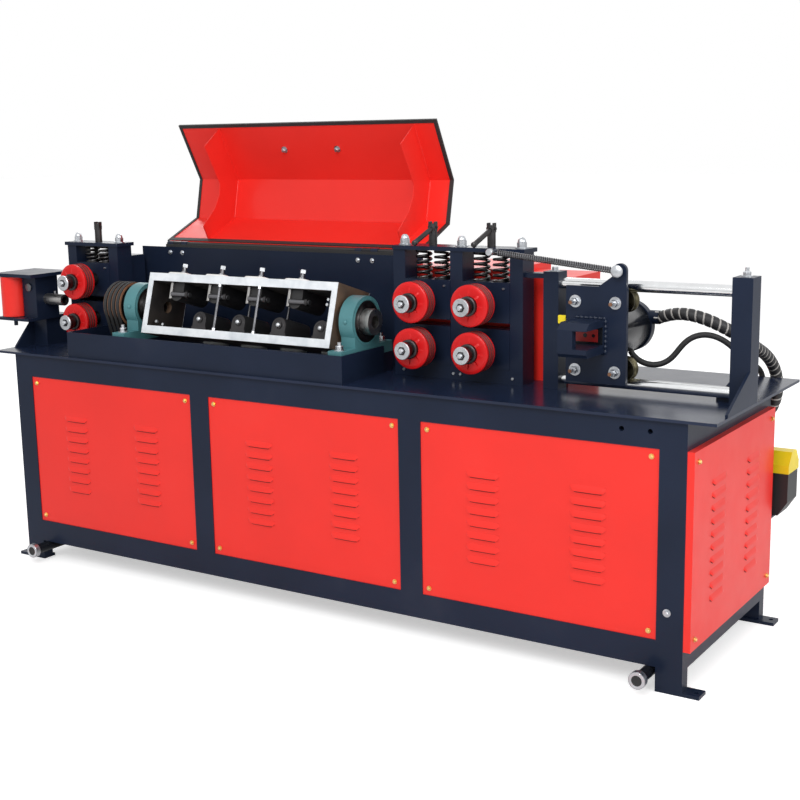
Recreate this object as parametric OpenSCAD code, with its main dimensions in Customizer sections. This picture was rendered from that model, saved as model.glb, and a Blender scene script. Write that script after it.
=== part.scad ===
// Rebar straightening and cutting machine on a welded frame.
// Sizes are millimetres. X runs along the bar from inlet to cutter, Y from front to rear, Z up.
// The origin is on the floor under the middle of the frame.

/* [Frame] */
// Length over the corner posts
frame_length = 2480; // [2440:10:2600]
// Depth over the posts
frame_depth = 680; // [660:10:740]
// Height of the table's top face
table_height = 750; // [720:5:800]
// Face width of posts and rails
member_width = 76; // [64:2:84]
// Depth of posts and rails
member_depth = 40; // [32:1:48]
// Height of the bottom rails above the floor
rail_clearance = 69; // [62:1:80]
// Distance between the middle posts
middle_post_spacing = 796; // [740:4:860]
// Foot plate thickness
foot_thickness = 10; // [8:1:14]
// How far a foot plate stands out past its post
foot_reach = 48; // [44:1:60]
// Foot plate width
foot_width = 50; // [46:1:60]
// Anchor hole diameter
anchor_hole = 14; // [10:1:18]
// Anchor hole distance from the end of the frame
anchor_offset = 32; // [26:1:36]
// Hole pair in the front top rail, distance apart
rail_hole_spacing = 80; // [60:2:100]

/* [Table and panels] */
// Table plate thickness
table_thickness = 8; // [6:1:12]
// Table overhang at each end
table_end_overhang = 80; // [80:2:120]
// Table overhang at front and rear
table_side_overhang = 12; // [8:1:16]
// Panel sheet thickness
panel_thickness = 2.5; // [1.5:0.5:4]
// How far the front and rear panels sit back in the frame
panel_setback = 3; // [2:0.5:6]
// How far the end panels stand proud
end_panel_depth = 20; // [14:1:26]
// Wheel pipe diameter
pipe_diameter = 34; // [28:1:38]
// Wheel pipe length past the frame at each side
pipe_reach = 75; // [60:5:90]

/* [Bar line] */
// Height of the bar above the table
bar_rise = 170; // [166:1:176]
// Distance of the bar behind the frame's front face
bar_setback = 150; // [146:1:154]

/* [Straightening drum] */
// Drum length over its end walls
drum_length = 762; // [740:2:764]
// Drum middle along the machine
drum_middle = -287; // [-292:1:-286]
// Drum height
drum_height = 202; // [190:2:204]
// Drum depth
drum_depth = 174; // [160:2:176]
// Long wall thickness
drum_wall = 26; // [20:1:30]
// End wall thickness
drum_end = 20; // [16:1:24]
// Tilt of the drum at rest
drum_tilt = 17; // [0:1:30]
// Distance between straightening dies
die_pitch = 161; // [150:1:164]
// Space left for the bar between upper and lower dies
die_gap = 30; // [24:1:36]
// Adjusting bolt height above the wall
bolt_height = 40; // [30:1:42]
// Hollow shaft diameter
shaft_diameter = 80; // [70:1:82]
// Shaft bore for the bar
shaft_bore = 40; // [30:1:46]
// Bearing block thickness along the shaft
bearing_width = 50; // [44:1:52]
// Bearing block outside diameter
bearing_diameter = 156; // [140:2:160]
// Pulley diameter
pulley_diameter = 150; // [136:2:152]
// Number of drive belts
belt_count = 4; // [2:1:5]
// Belt pitch on the pulley
belt_pitch = 19; // [17:0.5:20]

/* [Roller stands] */
// Roller diameter
roller_diameter = 122; // [116:1:124]
// Roller width
roller_width = 50; // [44:1:54]
// Space between upper and lower rollers
roller_gap = 16; // [8:1:20]
// Roller shaft diameter
roller_shaft = 50; // [40:1:54]
// Window width in a roller stand
window_width = 158; // [150:1:162]
// Stand post width
stand_post = 42; // [36:1:46]
// Stand depth
stand_depth = 70; // [64:1:76]
// Stand front face behind the frame's front face
stand_setback = 230; // [226:1:236]
// Stand plate thickness
stand_plate = 12; // [10:1:16]
// Roller block height
block_height = 118; // [112:1:120]
// Height of the feed stand's top plate underside above the table
feed_stand_rise = 385; // [375:1:400]
// Height of the inlet stand's top plate underside above the table
inlet_stand_rise = 357; // [350:1:370]
// Pressure spring diameter
spring_diameter = 52; // [44:1:56]
// Pressure screw diameter
screw_diameter = 25; // [20:1:28]
// Pressure screw height above the top plate
screw_height = 65; // [60:1:80]
// Pressure screw lever length
lever_length = 112; // [90:2:120]

/* [Hood] */
// Hood length
hood_length = 1078; // [1060:2:1078]
// Right end of the hood along the machine
hood_right = 193; // [185:1:193]
// Hood sheet thickness
hood_sheet = 3; // [2:0.5:4]
// Hood hinge height above the table
hinge_rise = 358; // [354:1:364]
// Hood hinge distance behind the frame's front face
hinge_setback = 413; // [411:1:420]
// Hinge pin diameter
hinge_pin = 10; // [8:1:12]

/* [Cutter] */
// Left face of the left cutter column
column_left = 711; // [705:1:720]
// Distance between the columns
column_span = 505; // [490:1:520]
// Column width
column_width = 48; // [40:1:50]
// Width of the right column
end_column_width = 56; // [44:1:60]
// Column depth
column_depth = 55; // [50:1:60]
// Depth of the right column
end_column_depth = 66; // [56:1:70]
// Column height above the table
column_height = 336; // [330:1:350]
// Guide rod diameter
rod_diameter = 32; // [28:1:34]
// Height of the upper guide rod above the bar
upper_rod_rise = 133; // [131:1:140]
// Depth of the lower guide rod below the bar
lower_rod_drop = 142; // [138:1:146]
// Carriage plate width
carriage_width = 182; // [176:1:188]
// Carriage plate thickness
carriage_thickness = 12; // [10:1:16]
// Hydraulic cylinder diameter
cylinder_diameter = 144; // [130:2:146]
// Hydraulic cylinder length
cylinder_length = 236; // [220:2:250]

/* [Hidden] */
$fn = 48;
// Running clearance on turning pins and shafts
running_gap = 0.05;
// Slight clearance between curved faces that don't fit
slip_gap = 0.3;

front_y = -frame_depth / 2;
rear_y = frame_depth / 2;
half_length = frame_length / 2;
post_inner = half_length - member_width;
rail_top = table_height - table_thickness;
top_rail_z = rail_top - member_width;
bottom_rail_top = rail_clearance + member_width;
mid_x = middle_post_spacing / 2;
bay_lo = mid_x + member_width / 2;
bay_hi = mid_x - member_width / 2;
bays = [[-post_inner, -bay_lo], [-bay_hi, bay_hi], [bay_lo, post_inner]];
foot_hole_y = foot_width - 28;
pipe_x = post_inner - 21;
pipe_z = rail_clearance - pipe_diameter / 2;
rail_hole_x = post_inner - 26;
rail_hole_z = rail_top - 32;

bar_y = front_y + bar_setback;
bar_z = table_height + bar_rise;

drum_left = drum_middle - drum_length / 2;
drum_right = drum_middle + drum_length / 2;
die_first = drum_left + 110;
die_shift = 115;
bolt_setoff = 45;
pad_length = 90;
pad_depth = 48;
die_width = 54;
die_count = floor((drum_right - drum_end - die_width / 2 - die_shift - die_first) / die_pitch) + 1;
inner_height = drum_height / 2 - drum_wall;
shaft_right = drum_right + 95;
shaft_left = drum_left - 217;
bearing_gap = 14;
bearing_right = drum_right + bearing_gap;
bearing_left = drum_left - 56 - bearing_width;
bearing_base = 34;
bearing_base_length = 276;
bearing_drop = 109;
pad_height = bar_rise - bearing_drop;
pulley_width = belt_count * belt_pitch;
pulley_left = bearing_left - 20 - pulley_width;
motor_pulley_r = pulley_diameter / 3;
motor_y = bar_y + 170;
motor_z = bottom_rail_top + 140;
motor_radius = 105;
shelf_thickness = 8;
shelf_left = -post_inner + 64;
trough_left = drum_left - 308;
trough_height = 85;
trough_sheet = 4;

stand_y = front_y + stand_setback;
stand_mid_y = stand_y + stand_depth / 2;
window_pitch = window_width + stand_post;
feed_x = 327;
inlet_x = -1066;
upper_roller_z = bar_z + (roller_diameter + roller_gap) / 2;
lower_roller_z = bar_z - (roller_diameter + roller_gap) / 2;
feed_top = table_height + feed_stand_rise;
inlet_top = table_height + inlet_stand_rise;
feed_left = feed_x - window_width / 2 - stand_post;
feed_right = feed_x + window_pitch + window_width / 2 + stand_post;
inlet_left = inlet_x - window_width / 2 - stand_post;
inlet_right = inlet_x + window_width / 2 + stand_post;
roller_front = bar_y - roller_width / 2;
shaft_nose = 40;
lever_drop = 20;

hinge_y = front_y + hinge_setback;
hinge_z = table_height + hinge_rise;
hood_left = hood_right - hood_length;
trim_width = 12;
knuckle_r = hinge_pin / 2 + 4;
hinge_xs = [hood_left + 63, hood_right - 206];
hinge_half = 44;
knuckle_half = 18;
// Hood section from the hinge line round to its free edge, measured from the hinge
hood_section = [[0, 0], [177, 78], [207, 219], [103, 414]];
guard_thickness = 4;
guard_y = hinge_y - knuckle_r - guard_thickness;
guard_right = feed_left - 1;
guard_left = hood_left - 100;

column_y = front_y + 235;
rod_y = column_y + column_depth / 2;
column_right = column_left + column_width + column_span;
upper_rod_z = bar_z + upper_rod_rise;
lower_rod_z = bar_z - lower_rod_drop;
carriage_left = column_left + column_width + 43;
carriage_right = carriage_left + carriage_width;
carriage_y = rod_y - 67.5;
carriage_back = carriage_y + carriage_thickness;
wheel_xs = [carriage_left + 29, carriage_right - 33];
wheel_r = 35;
wheel_width = 36;
wheel_offset = rod_diameter / 2 + 25;
cylinder_x = carriage_left + 89;
cylinder_z = bar_z - 2;
lug_x = carriage_right - 22;
lug_z = upper_rod_z + 48;
jaw_left = carriage_left + 33;
jaw_width = 86;
jaw_mouth = 45;
jaw_front = bar_y - 78;
spring_pin_x = feed_x + window_pitch + 44;
spring_radius = 10;
spring_y = carriage_y - spring_radius - slip_gap;
port_reach = 94;
port_inset = 6;
port_rise = 27;
spring_pin_z = feed_top + stand_plate / 2;

// Wrapped hose from the cylinder to the rear, route points
wrapped_route = [
  [985, 97, 945], [1003, 97, 951], [1023.5, 95.1, 956.2], [1046.9, 93, 959.2],
  [1073.2, 92.4, 958.4], [1101.6, 94.5, 953.2], [1130.9, 100.8, 943.4], [1159.1, 112.8, 929.3],
  [1184.1, 131.4, 912.1], [1203.6, 156.9, 893.6], [1216.5, 188.3, 875.6], [1223.3, 223.9, 859.1],
  [1227, 261.4, 843.5], [1230.4, 298.2, 826.7], [1235.2, 331.2, 805.6], [1240.3, 357.7, 778.6],
  [1243.9, 376.3, 746.6], [1243.5, 387.4, 712], [1237.5, 392.9, 677.8], [1225.3, 394.7, 646.1],
  [1207.2, 394.6, 618.5], [1184.1, 393.7, 595.7], [1157, 392.7, 578.4], [1127, 392, 567],
  [1095, 392, 562]];
// Plain hose from under the cylinder to the rear, route points
plain_route = [
  [927, 20, 855], [936, 20, 843], [948.2, 21.3, 832.3], [962.9, 23.9, 823.9],
  [979.3, 27.8, 818.9], [996.1, 32.8, 817.7], [1012.2, 38.6, 820.5], [1026.7, 44.5, 827.3],
  [1039.4, 49.9, 837.7], [1050.5, 54.3, 851.1], [1061.4, 58.1, 866.5], [1073.8, 62.3, 881.8],
  [1089.2, 67.7, 894.7], [1107.8, 74.8, 903], [1128.5, 84, 905.2], [1149.4, 96.1, 900.3],
  [1167.8, 112, 888.8], [1181.9, 132.4, 872.6], [1190.8, 157.5, 854.2], [1195.5, 186.5, 836],
  [1197.7, 218.1, 819.2], [1198.7, 250.9, 805], [1199.4, 283.8, 794], [1199.8, 315.5, 784.3],
  [1200.3, 343.5, 772.4], [1201.1, 365.4, 755.7], [1201.6, 380, 734.5], [1200.1, 388.1, 711.5],
  [1194.9, 391.6, 689.3], [1185.1, 392.6, 669.9], [1170.3, 392.7, 653.9], [1150.8, 392.4, 641.7],
  [1126, 392, 634], [1095, 392, 632]];
wrapped_d = 36;
plain_d = 17;
hose_y = rear_y + 52;
bulkhead_left = post_inner - 113;
elbow_reach = 44;
wide_hose_z = top_rail_z - 104;
slim_hose_z = top_rail_z - 34;

navy = [0.13, 0.15, 0.21];
red = [0.88, 0.16, 0.14];
steel = [0.62, 0.64, 0.66];
dark = [0.1, 0.1, 0.11];
teal = [0.25, 0.5, 0.5];
white_metal = [0.85, 0.86, 0.86];
yellow = [0.95, 0.8, 0.1];
black = [0.05, 0.05, 0.05];

// Box between two corners
module span(low, high) {
  translate(low) cube(high - low);
}

// Cylinder along X between two stations
module rod_x(x0, x1, y, z, r) {
  translate([x0, y, z]) rotate([0, 90, 0]) cylinder(h = x1 - x0, r = r);
}

// Cylinder along Y between two stations
module rod_y(x, y0, y1, z, r) {
  translate([x, y0, z]) rotate([-90, 0, 0]) cylinder(h = y1 - y0, r = r);
}

// Cylinder along Z between two heights
module rod_z(x, y, z0, z1, r) {
  translate([x, y, z0]) cylinder(h = z1 - z0, r = r);
}

// Flat shape in the YZ plane pushed along X
module slab_x(x0, x1, outline) {
  translate([x0, 0, 0]) rotate([90, 0, 90]) linear_extrude(height = x1 - x0) polygon(outline);
}

// Flat shape in the XZ plane pushed along Y
module slab_y(y0, y1, outline) {
  translate([0, y1, 0]) rotate([90, 0, 0]) linear_extrude(height = y1 - y0) polygon(outline);
}

function unit(v) = v / norm(v);
function left_normal(a, b) = [-unit(b - a)[1], unit(b - a)[0]];
function mitre(p, i) =
  let (n = left_normal(p[i - 1], p[i]), m = left_normal(p[i], p[i + 1])) (n + m) / (1 + n * m);
function shifted(p, d) = [for (i = [0:len(p) - 1])
  i == 0 ? p[0] + d * left_normal(p[0], p[1]) :
  i == len(p) - 1 ? p[i] + d * left_normal(p[i - 1], p[i]) : p[i] + d * mitre(p, i)];
function reversed(p) = [for (i = [len(p) - 1:-1:0]) p[i]];
function band(p, d0, d1) = concat(shifted(p, d0), reversed(shifted(p, d1)));
function placed(p, y, z) = [for (q = p) [q[0] + y, q[1] + z]];
function along(a, b, d) = a + d * unit(b - a);

function route_dir(p, i, first) =
  i == 0 ? first : i == len(p) - 1 ? [-1, 0, 0] : unit(p[i + 1] - p[i - 1]);
function ring(p, i, r, n, first) =
  let (t = route_dir(p, i, first), u = unit(cross(t, [-1, 1, 1])), v = cross(t, u))
  [for (k = [0:n - 1]) p[i] + r * (cos(360 * k / n) * u + sin(360 * k / n) * v)];

// Round tube swept along a route of points, square to its fittings at the ends
module hose(p, d, first) {
  n = 10;
  m = len(p);
  points = [for (i = [0:m - 1]) each ring(p, i, d / 2, n, first)];
  sides = [for (i = [0:m - 2], k = [0:n - 1])
    [i * n + k, i * n + (k + 1) % n, (i + 1) * n + (k + 1) % n, (i + 1) * n + k]];
  start = [for (k = [n - 1:-1:0]) k];
  finish = [for (k = [0:n - 1]) (m - 1) * n + k];
  polyhedron(points = points, faces = concat(sides, [start], [finish]), convexity = 10);
}

module frame_posts() {
  color(navy)
  for (y = [front_y, rear_y - member_depth]) {
    for (x = [-half_length, post_inner])
      span([x, y, foot_thickness], [x + member_width, y + member_depth, rail_top]);
    for (x = [-bay_lo, bay_hi])
      span([x, y, rail_clearance], [x + member_width, y + member_depth, rail_top]);
  }
}

module frame_rails() {
  color(navy)
  difference() {
    for (y = [front_y, rear_y - member_depth])
      for (z = [rail_clearance, top_rail_z])
        for (b = bays)
          span([b[0], y, z], [b[1], y + member_depth, z + member_width]);
    for (x = [rail_hole_x, rail_hole_x - rail_hole_spacing])
      rod_y(x, front_y - 1, front_y + member_depth + 1, rail_hole_z, anchor_hole / 2);
  }
}

module cross_rails() {
  color(navy)
  for (x = [-half_length, -bay_lo, bay_hi, post_inner])
    for (z = [rail_clearance, top_rail_z])
      span([x, front_y + member_depth, z], [x + member_width, rear_y - member_depth, z + member_width]);
}

module foot_plates() {
  color(navy)
  for (sx = [-1, 1])
    for (sy = [-1, 1])
      scale([sx, sy, 1])
      difference() {
        span([post_inner, rear_y - foot_width, 0], [half_length + foot_reach, rear_y, foot_thickness]);
        rod_z(half_length + anchor_offset, rear_y - foot_hole_y, -1, foot_thickness + 1, anchor_hole / 2);
      }
}

module wheel_pipes() {
  color(steel)
  for (x = [-pipe_x, pipe_x]) {
    rod_y(x, front_y - pipe_reach, rear_y + pipe_reach, pipe_z, pipe_diameter / 2);
    for (y = [front_y - pipe_reach, rear_y + pipe_reach - 18])
      rod_y(x, y, y + 18, pipe_z, pipe_diameter / 2 + 7);
  }
}

module table_plate() {
  color(navy)
  difference() {
    span([-half_length - table_end_overhang, front_y - table_side_overhang, rail_top],
      [half_length + table_end_overhang, rear_y + table_side_overhang, table_height]);
    span([pulley_left - 12, bar_y - 40, rail_top - 1],
      [pulley_left + pulley_width + 12, bar_y + 160, table_height + 1]);
  }
}

module bay_panels(y) {
  for (b = bays)
    span([b[0], y, bottom_rail_top], [b[1], y + panel_thickness, top_rail_z]);
}

module front_panels() {
  color(red) bay_panels(front_y + panel_setback);
}

module rear_panels() {
  color(red) bay_panels(rear_y - panel_setback - panel_thickness);
}

module end_panels() {
  color(red) {
    span([half_length, front_y + 1, bottom_rail_top - 20],
      [half_length + end_panel_depth, rear_y - 17, top_rail_z + 1]);
    span([-half_length - panel_thickness, front_y + 17, bottom_rail_top - 20],
      [-half_length, rear_y - 17, top_rail_z + 1]);
  }
}

module trough_front() {
  color(navy)
  span([trough_left, front_y, table_height],
    [bearing_right + bearing_width + 2 * trough_sheet, front_y + trough_sheet, table_height + trough_height]);
}

module trough_sides() {
  color(navy)
  for (x = [trough_left, bearing_right + bearing_width + trough_sheet])
    span([x, front_y + trough_sheet, table_height], [x + trough_sheet, stand_y - 1, table_height + trough_height]);
}

module rear_guard() {
  color(navy)
  span([guard_left, guard_y, table_height],
    [guard_right, guard_y + guard_thickness, hinge_z - knuckle_r - 2]);
}

module guard_hinges() {
  color(navy)
  for (x = hinge_xs) {
    rod_x(x - hinge_half, x + hinge_half, hinge_y, hinge_z, hinge_pin / 2);
    for (s = [-hinge_half, knuckle_half + 0.5]) {
      rod_x(x + s, x + s + hinge_half - knuckle_half - 0.5, hinge_y, hinge_z, knuckle_r);
      span([x + s, hinge_y - knuckle_r, hinge_z - 48],
        [x + s + hinge_half - knuckle_half - 0.5, hinge_y - knuckle_r + 4, hinge_z]);
    }
  }
}

module bearing_blocks() {
  color(teal)
  for (x = [bearing_left, bearing_right])
    difference() {
      union() {
        rod_x(x, x + bearing_width, bar_y, bar_z, bearing_diameter / 2);
        span([x, bar_y - bearing_diameter / 2 + 12, bar_z - bearing_drop + 4],
          [x + bearing_width, bar_y + bearing_diameter / 2 - 12, bar_z]);
        span([x, bar_y - bearing_base_length / 2, bar_z - bearing_drop],
          [x + bearing_width, bar_y + bearing_base_length / 2, bar_z - bearing_drop + bearing_base]);
      }
      rod_x(x - 1, x + bearing_width + 1, bar_y, bar_z, shaft_diameter / 2 + running_gap);
    }
}

module bearing_pads() {
  color(navy)
  for (x = [bearing_left, bearing_right])
    span([x, bar_y - bearing_base_length / 2, table_height],
      [x + bearing_width, bar_y + bearing_base_length / 2, table_height + pad_height]);
}

function arc(y, z, r, a0, a1, n) =
  [for (k = [0:n]) [y + r * cos(a0 + (a1 - a0) * k / n), z + r * sin(a0 + (a1 - a0) * k / n)]];

belt_reach = norm([motor_y - bar_y, motor_z - bar_z]);
belt_lean = atan2(motor_z - bar_z, motor_y - bar_y);
belt_open = acos((pulley_diameter / 2 - motor_pulley_r) / belt_reach);

// Belt outline round both pulleys
module belt_outline(grow) {
  polygon(concat(
    arc(bar_y, bar_z, pulley_diameter / 2 + grow, belt_lean + belt_open, belt_lean + 360 - belt_open, 40),
    arc(motor_y, motor_z, motor_pulley_r + grow, belt_lean - belt_open, belt_lean + belt_open, 30)));
}

module drive_belts() {
  color(black)
  for (k = [0:belt_count - 1])
    translate([pulley_left + (k + 0.5) * belt_pitch - 6, 0, 0])
      rotate([90, 0, 90])
        linear_extrude(height = 12)
          difference() {
            belt_outline(4);
            belt_outline(slip_gap);
          }
}

module motor_shelf() {
  color(navy)
  span([shelf_left, front_y + 12, bottom_rail_top], [-bay_lo - 20, rear_y - 12, bottom_rail_top + shelf_thickness]);
}

module drive_motor() {
  x0 = pulley_left + pulley_width + 30;
  color(navy) {
    rod_x(x0, x0 + 260, motor_y, motor_z, motor_radius);
    span([x0 + 20, motor_y - 90, bottom_rail_top + shelf_thickness], [x0 + 240, motor_y + 90, motor_z]);
  }
}

module pulley(y, z, r, bore) {
  difference() {
    rod_x(pulley_left, pulley_left + pulley_width, y, z, r);
    rod_x(pulley_left - 1, pulley_left + pulley_width + 1, y, z, bore);
  }
}

module motor_pulley() {
  color(steel) {
    rod_x(pulley_left, pulley_left + pulley_width, motor_y, motor_z, motor_pulley_r);
    rod_x(pulley_left + pulley_width, pulley_left + pulley_width + 29.5, motor_y, motor_z, 19);
  }
}

module stand_row(left, count, top) {
  for (k = [0:count])
    span([left + k * window_pitch, stand_y, table_height],
      [left + k * window_pitch + stand_post, stand_y + stand_depth, top]);
}

module stand_posts() {
  color(navy) {
    stand_row(feed_left, 2, feed_top);
    stand_row(inlet_left, 1, inlet_top);
  }
}

module stand_top(left, right, top, screws) {
  difference() {
    span([left, stand_y - 6, top], [right, stand_y + stand_depth + 6, top + stand_plate]);
    for (x = screws)
      rod_z(x, stand_mid_y, top - 1, top + stand_plate + 1, screw_diameter / 2 + running_gap);
  }
}

module stand_seat(x) {
  span([x - window_width / 2, stand_y, table_height],
    [x + window_width / 2, stand_y + stand_depth, lower_roller_z - block_height / 2]);
}

module stand_plates() {
  color(navy) {
    stand_top(feed_left, feed_right + 8, feed_top, [feed_x, feed_x + window_pitch]);
    rod_y(spring_pin_x, spring_y - 6, stand_y - 5, spring_pin_z, 5.5);
    stand_top(inlet_left - 8, inlet_right + 8, inlet_top, [inlet_x]);
    for (x = [feed_x, feed_x + window_pitch, inlet_x])
      stand_seat(x);
  }
}

module roller_block(x, z) {
  difference() {
    span([x - window_width / 2 + slip_gap, stand_y - 2, z - block_height / 2],
      [x + window_width / 2 - slip_gap, stand_y + stand_depth - 2, z + block_height / 2]);
    rod_y(x, stand_y - 3, stand_y + stand_depth, z, roller_shaft / 2 + running_gap);
  }
}

module roller_blocks() {
  color(navy)
  for (x = [feed_x, feed_x + window_pitch, inlet_x])
    for (z = [lower_roller_z, upper_roller_z])
      roller_block(x, z);
}

// Coil spring stand-in, a core with a round wire turn at each step
module coil(x, top) {
  low = upper_roller_z + block_height / 2;
  turns = 5;
  wire = 4.5;
  step = (top - low - 2 * wire) / (turns - 1);
  translate([x, stand_mid_y, low])
    rotate_extrude() {
      square([spring_diameter / 2 - wire - 1, top - low]);
      for (k = [0:turns - 1])
        translate([spring_diameter / 2 - wire, wire + k * step]) circle(r = wire, $fn = 20);
    }
}

module pressure_springs() {
  color(dark)
  for (s = [-32, 32]) {
    coil(feed_x + s, feed_top);
    coil(feed_x + window_pitch + s, feed_top);
    coil(inlet_x + s, inlet_top);
  }
}

cover_inset = 60;
cover_height = 326;

module drive_cover() {
  color(red)
  span([feed_left + 4, stand_y + stand_depth + 30, table_height],
    [feed_right - 103, rear_y - cover_inset, table_height + cover_height]);
  color(red)
  span([feed_right - 104, stand_y + stand_depth + 30, table_height],
    [column_left + 34, rear_y - 2 * cover_inset - 10, table_height + cover_height - 18]);
}

module inlet_cover() {
  color(navy)
  span([inlet_left, stand_y + stand_depth + 9, table_height],
    [inlet_right - 12, stand_y + stand_depth + 78, table_height + 320]);
}

entry_x = inlet_left - 151;
entry_post_left = entry_x + 27;
entry_block_right = entry_x + 116;
entry_r = 44;
entry_half = entry_r + 6;
entry_pin = 10;
entry_low = bar_z - 62;
entry_high = bar_z + 83;

module entry_bracket() {
  color(navy)
  difference() {
    union() {
      span([entry_post_left, bar_y, table_height], [entry_x + 102, bar_y + 105, entry_low - 10]);
      span([entry_x - 47, bar_y - entry_half - 46, entry_low - 10], [entry_block_right, bar_y + 105, entry_low]);
      span([entry_x + entry_r + 5, bar_y - 52, entry_low], [entry_block_right, bar_y + 52, entry_high]);
      span([entry_x - 47, bar_y - entry_half - 46, entry_high],
        [inlet_left - 9, bar_y + entry_half + 46, entry_high + 12]);
      for (s = [-entry_half, entry_half])
        rod_z(entry_x, bar_y + s, entry_low - 10, entry_high + 12, entry_pin);
      rod_z(entry_x, bar_y - entry_half, entry_low - 34, entry_low - 10, 7);
      slab_x(entry_post_left, entry_post_left + 8, [[bar_y + 2, entry_low - 10], [bar_y + 2, table_height],
        [bar_y - 90, table_height], [bar_y - 84, table_height + 8], [bar_y, entry_low - 10]]);
    }
    rod_x(entry_x, entry_block_right + 22, bar_y, bar_z, 12);
  }
}

module inlet_tube() {
  color(steel)
  difference() {
    rod_x(entry_block_right, entry_block_right + 87, bar_y, bar_z, 20);
    rod_x(entry_block_right - 1, entry_block_right + 88, bar_y, bar_z, 12);
  }
}

module entry_roller(s) {
  color(red)
  difference() {
    rod_z(entry_x, bar_y + s, entry_low + 2, entry_high - 2, entry_r);
    rod_z(entry_x, bar_y + s, entry_low, entry_high, entry_pin + running_gap);
  }
}

module entry_roller_front() {
  entry_roller(-entry_half);
}

module entry_roller_rear() {
  entry_roller(entry_half);
}

module cutter_columns() {
  color(navy) {
    span([column_left, column_y, table_height],
      [column_left + column_width, column_y + column_depth, table_height + column_height]);
    span([column_right, column_y, table_height],
      [column_right + end_column_width, column_y + end_column_depth, table_height + column_height + 6]);
    span([feed_right, column_y + 8, upper_rod_z + 12], [column_left, column_y + 40, upper_rod_z + 26]);
  }
}

module column_gussets() {
  x = column_right + end_column_width;
  color(navy) {
    slab_x(x - 8, x, [[column_y, table_height], [column_y, table_height + 93],
      [column_y - 167, table_height + 8], [column_y - 167, table_height]]);
    slab_y(column_y + column_depth - 8, column_y + column_depth, [[column_right, table_height],
      [column_right, table_height + 75], [column_right - 52, table_height + 6], [column_right - 52, table_height]]);
  }
}

module guide_rods() {
  color(steel)
  for (z = [lower_rod_z, upper_rod_z])
    rod_x(column_left + column_width, column_right, rod_y, z, rod_diameter / 2);
}

box_left = 895;
box_right = 1294;
box_y = rear_y + 22;
box_depth = 95;
box_z = 325;
lid_z = 457;

module toolbox_body() {
  color(black)
  slab_y(box_y, box_y + box_depth, [[box_left + 28, box_z], [box_right - 28, box_z],
    [box_right, box_z + 43], [box_right, lid_z], [box_left, lid_z], [box_left, box_z + 43]]);
}

module toolbox_lid() {
  color(yellow)
  slab_x(box_left - 2, box_right + 2, [[box_y - 3, lid_z], [box_y + box_depth + 3, lid_z],
    [box_y + box_depth + 3, lid_z + 25], [box_y + box_depth - 26, lid_z + 63],
    [box_y + 26, lid_z + 63], [box_y - 3, lid_z + 25]]);
}

module toolbox_shelf() {
  color(navy) {
    span([box_left + 40, rear_y, box_z - 6], [box_right - 40, box_y + box_depth - 20, box_z]);
    span([post_inner + 10, rear_y, box_z - 66], [post_inner + 16, box_y + box_depth - 30, box_z - 6]);
  }
}

module elbow(z, r) {
  rod_y(bulkhead_left + r, rear_y - panel_setback, hose_y, z, r);
  rod_x(bulkhead_left + r, bulkhead_left + elbow_reach, hose_y, z, r);
}

module hose_fittings() {
  color(steel) {
    elbow(wide_hose_z, 22);
    elbow(slim_hose_z, 13);
  }
}

module wrapped_hose() {
  color(black) hose(wrapped_route, wrapped_d, [1, 0, 0]);
}

module plain_hose() {
  color(black) hose(plain_route, plain_d, unit(plain_route[1] - plain_route[0]));
}

module return_spring() {
  color(dark)
  difference() {
    union() {
      translate([spring_pin_x, spring_y, spring_pin_z])
        rotate([0, 90 + atan2(spring_pin_z - lug_z, lug_x - spring_pin_x), 0])
          cylinder(h = norm([lug_x - spring_pin_x, lug_z - spring_pin_z]), r = spring_radius);
      rod_y(spring_pin_x, spring_y - 4, spring_y + 4, spring_pin_z, 12);
      rod_y(lug_x, spring_y - 4, spring_y + 4, lug_z, 12);
    }
    rod_y(spring_pin_x, spring_y - 20, spring_y + 20, spring_pin_z, 5.5 + slip_gap);
    rod_y(lug_x, spring_y - 20, spring_y + 20, lug_z, 5.5 + slip_gap);
  }
}

hood_start = along(hood_section[0], hood_section[1], knuckle_r + 5);
hood_stop = along(hood_section[3], hood_section[2], trim_width);
sheet_path = [hood_start, hood_section[1], hood_section[2], hood_stop];
trim_path = [hood_start, hood_section[1], hood_section[2], hood_section[3]];

module hood_band(x0, x1, path, d0, d1) {
  slab_x(x0, x1, placed(band(path, d0, d1), hinge_y, hinge_z));
}

module hood_shell() {
  color(red) hood_band(hood_left + trim_width, hood_right - trim_width, sheet_path, 0, hood_sheet);
}

module hood_trim() {
  color(black) {
    hood_band(hood_left, hood_left + trim_width, trim_path, -2, hood_sheet + 2);
    hood_band(hood_right - trim_width, hood_right, trim_path, -2, hood_sheet + 2);
    hood_band(hood_left, hood_right, [hood_stop, hood_section[3]], -2, hood_sheet + 2);
  }
}

rib_outer = shifted([along(hood_section[0], hood_section[1], 32), hood_section[1], hood_section[2],
  along(hood_section[2], hood_section[3], 203)], hood_sheet);
rib_inner = [[28, 338], [102, 208], [98, 169], [70, 123], [4, 64]];
rib_xs = [drum_left - 41, drum_right + 8];

module hood_ribs() {
  color(red)
  for (x = rib_xs)
    slab_x(x, x + 3, placed(concat(rib_outer, rib_inner), hinge_y, hinge_z));
}

handle_xs = [-448, -225];
handle_at = along(hood_section[2], hood_section[3], 120);
handle_tilt = atan2(hood_section[3][1] - hood_section[2][1], hood_section[3][0] - hood_section[2][0]);

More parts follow.
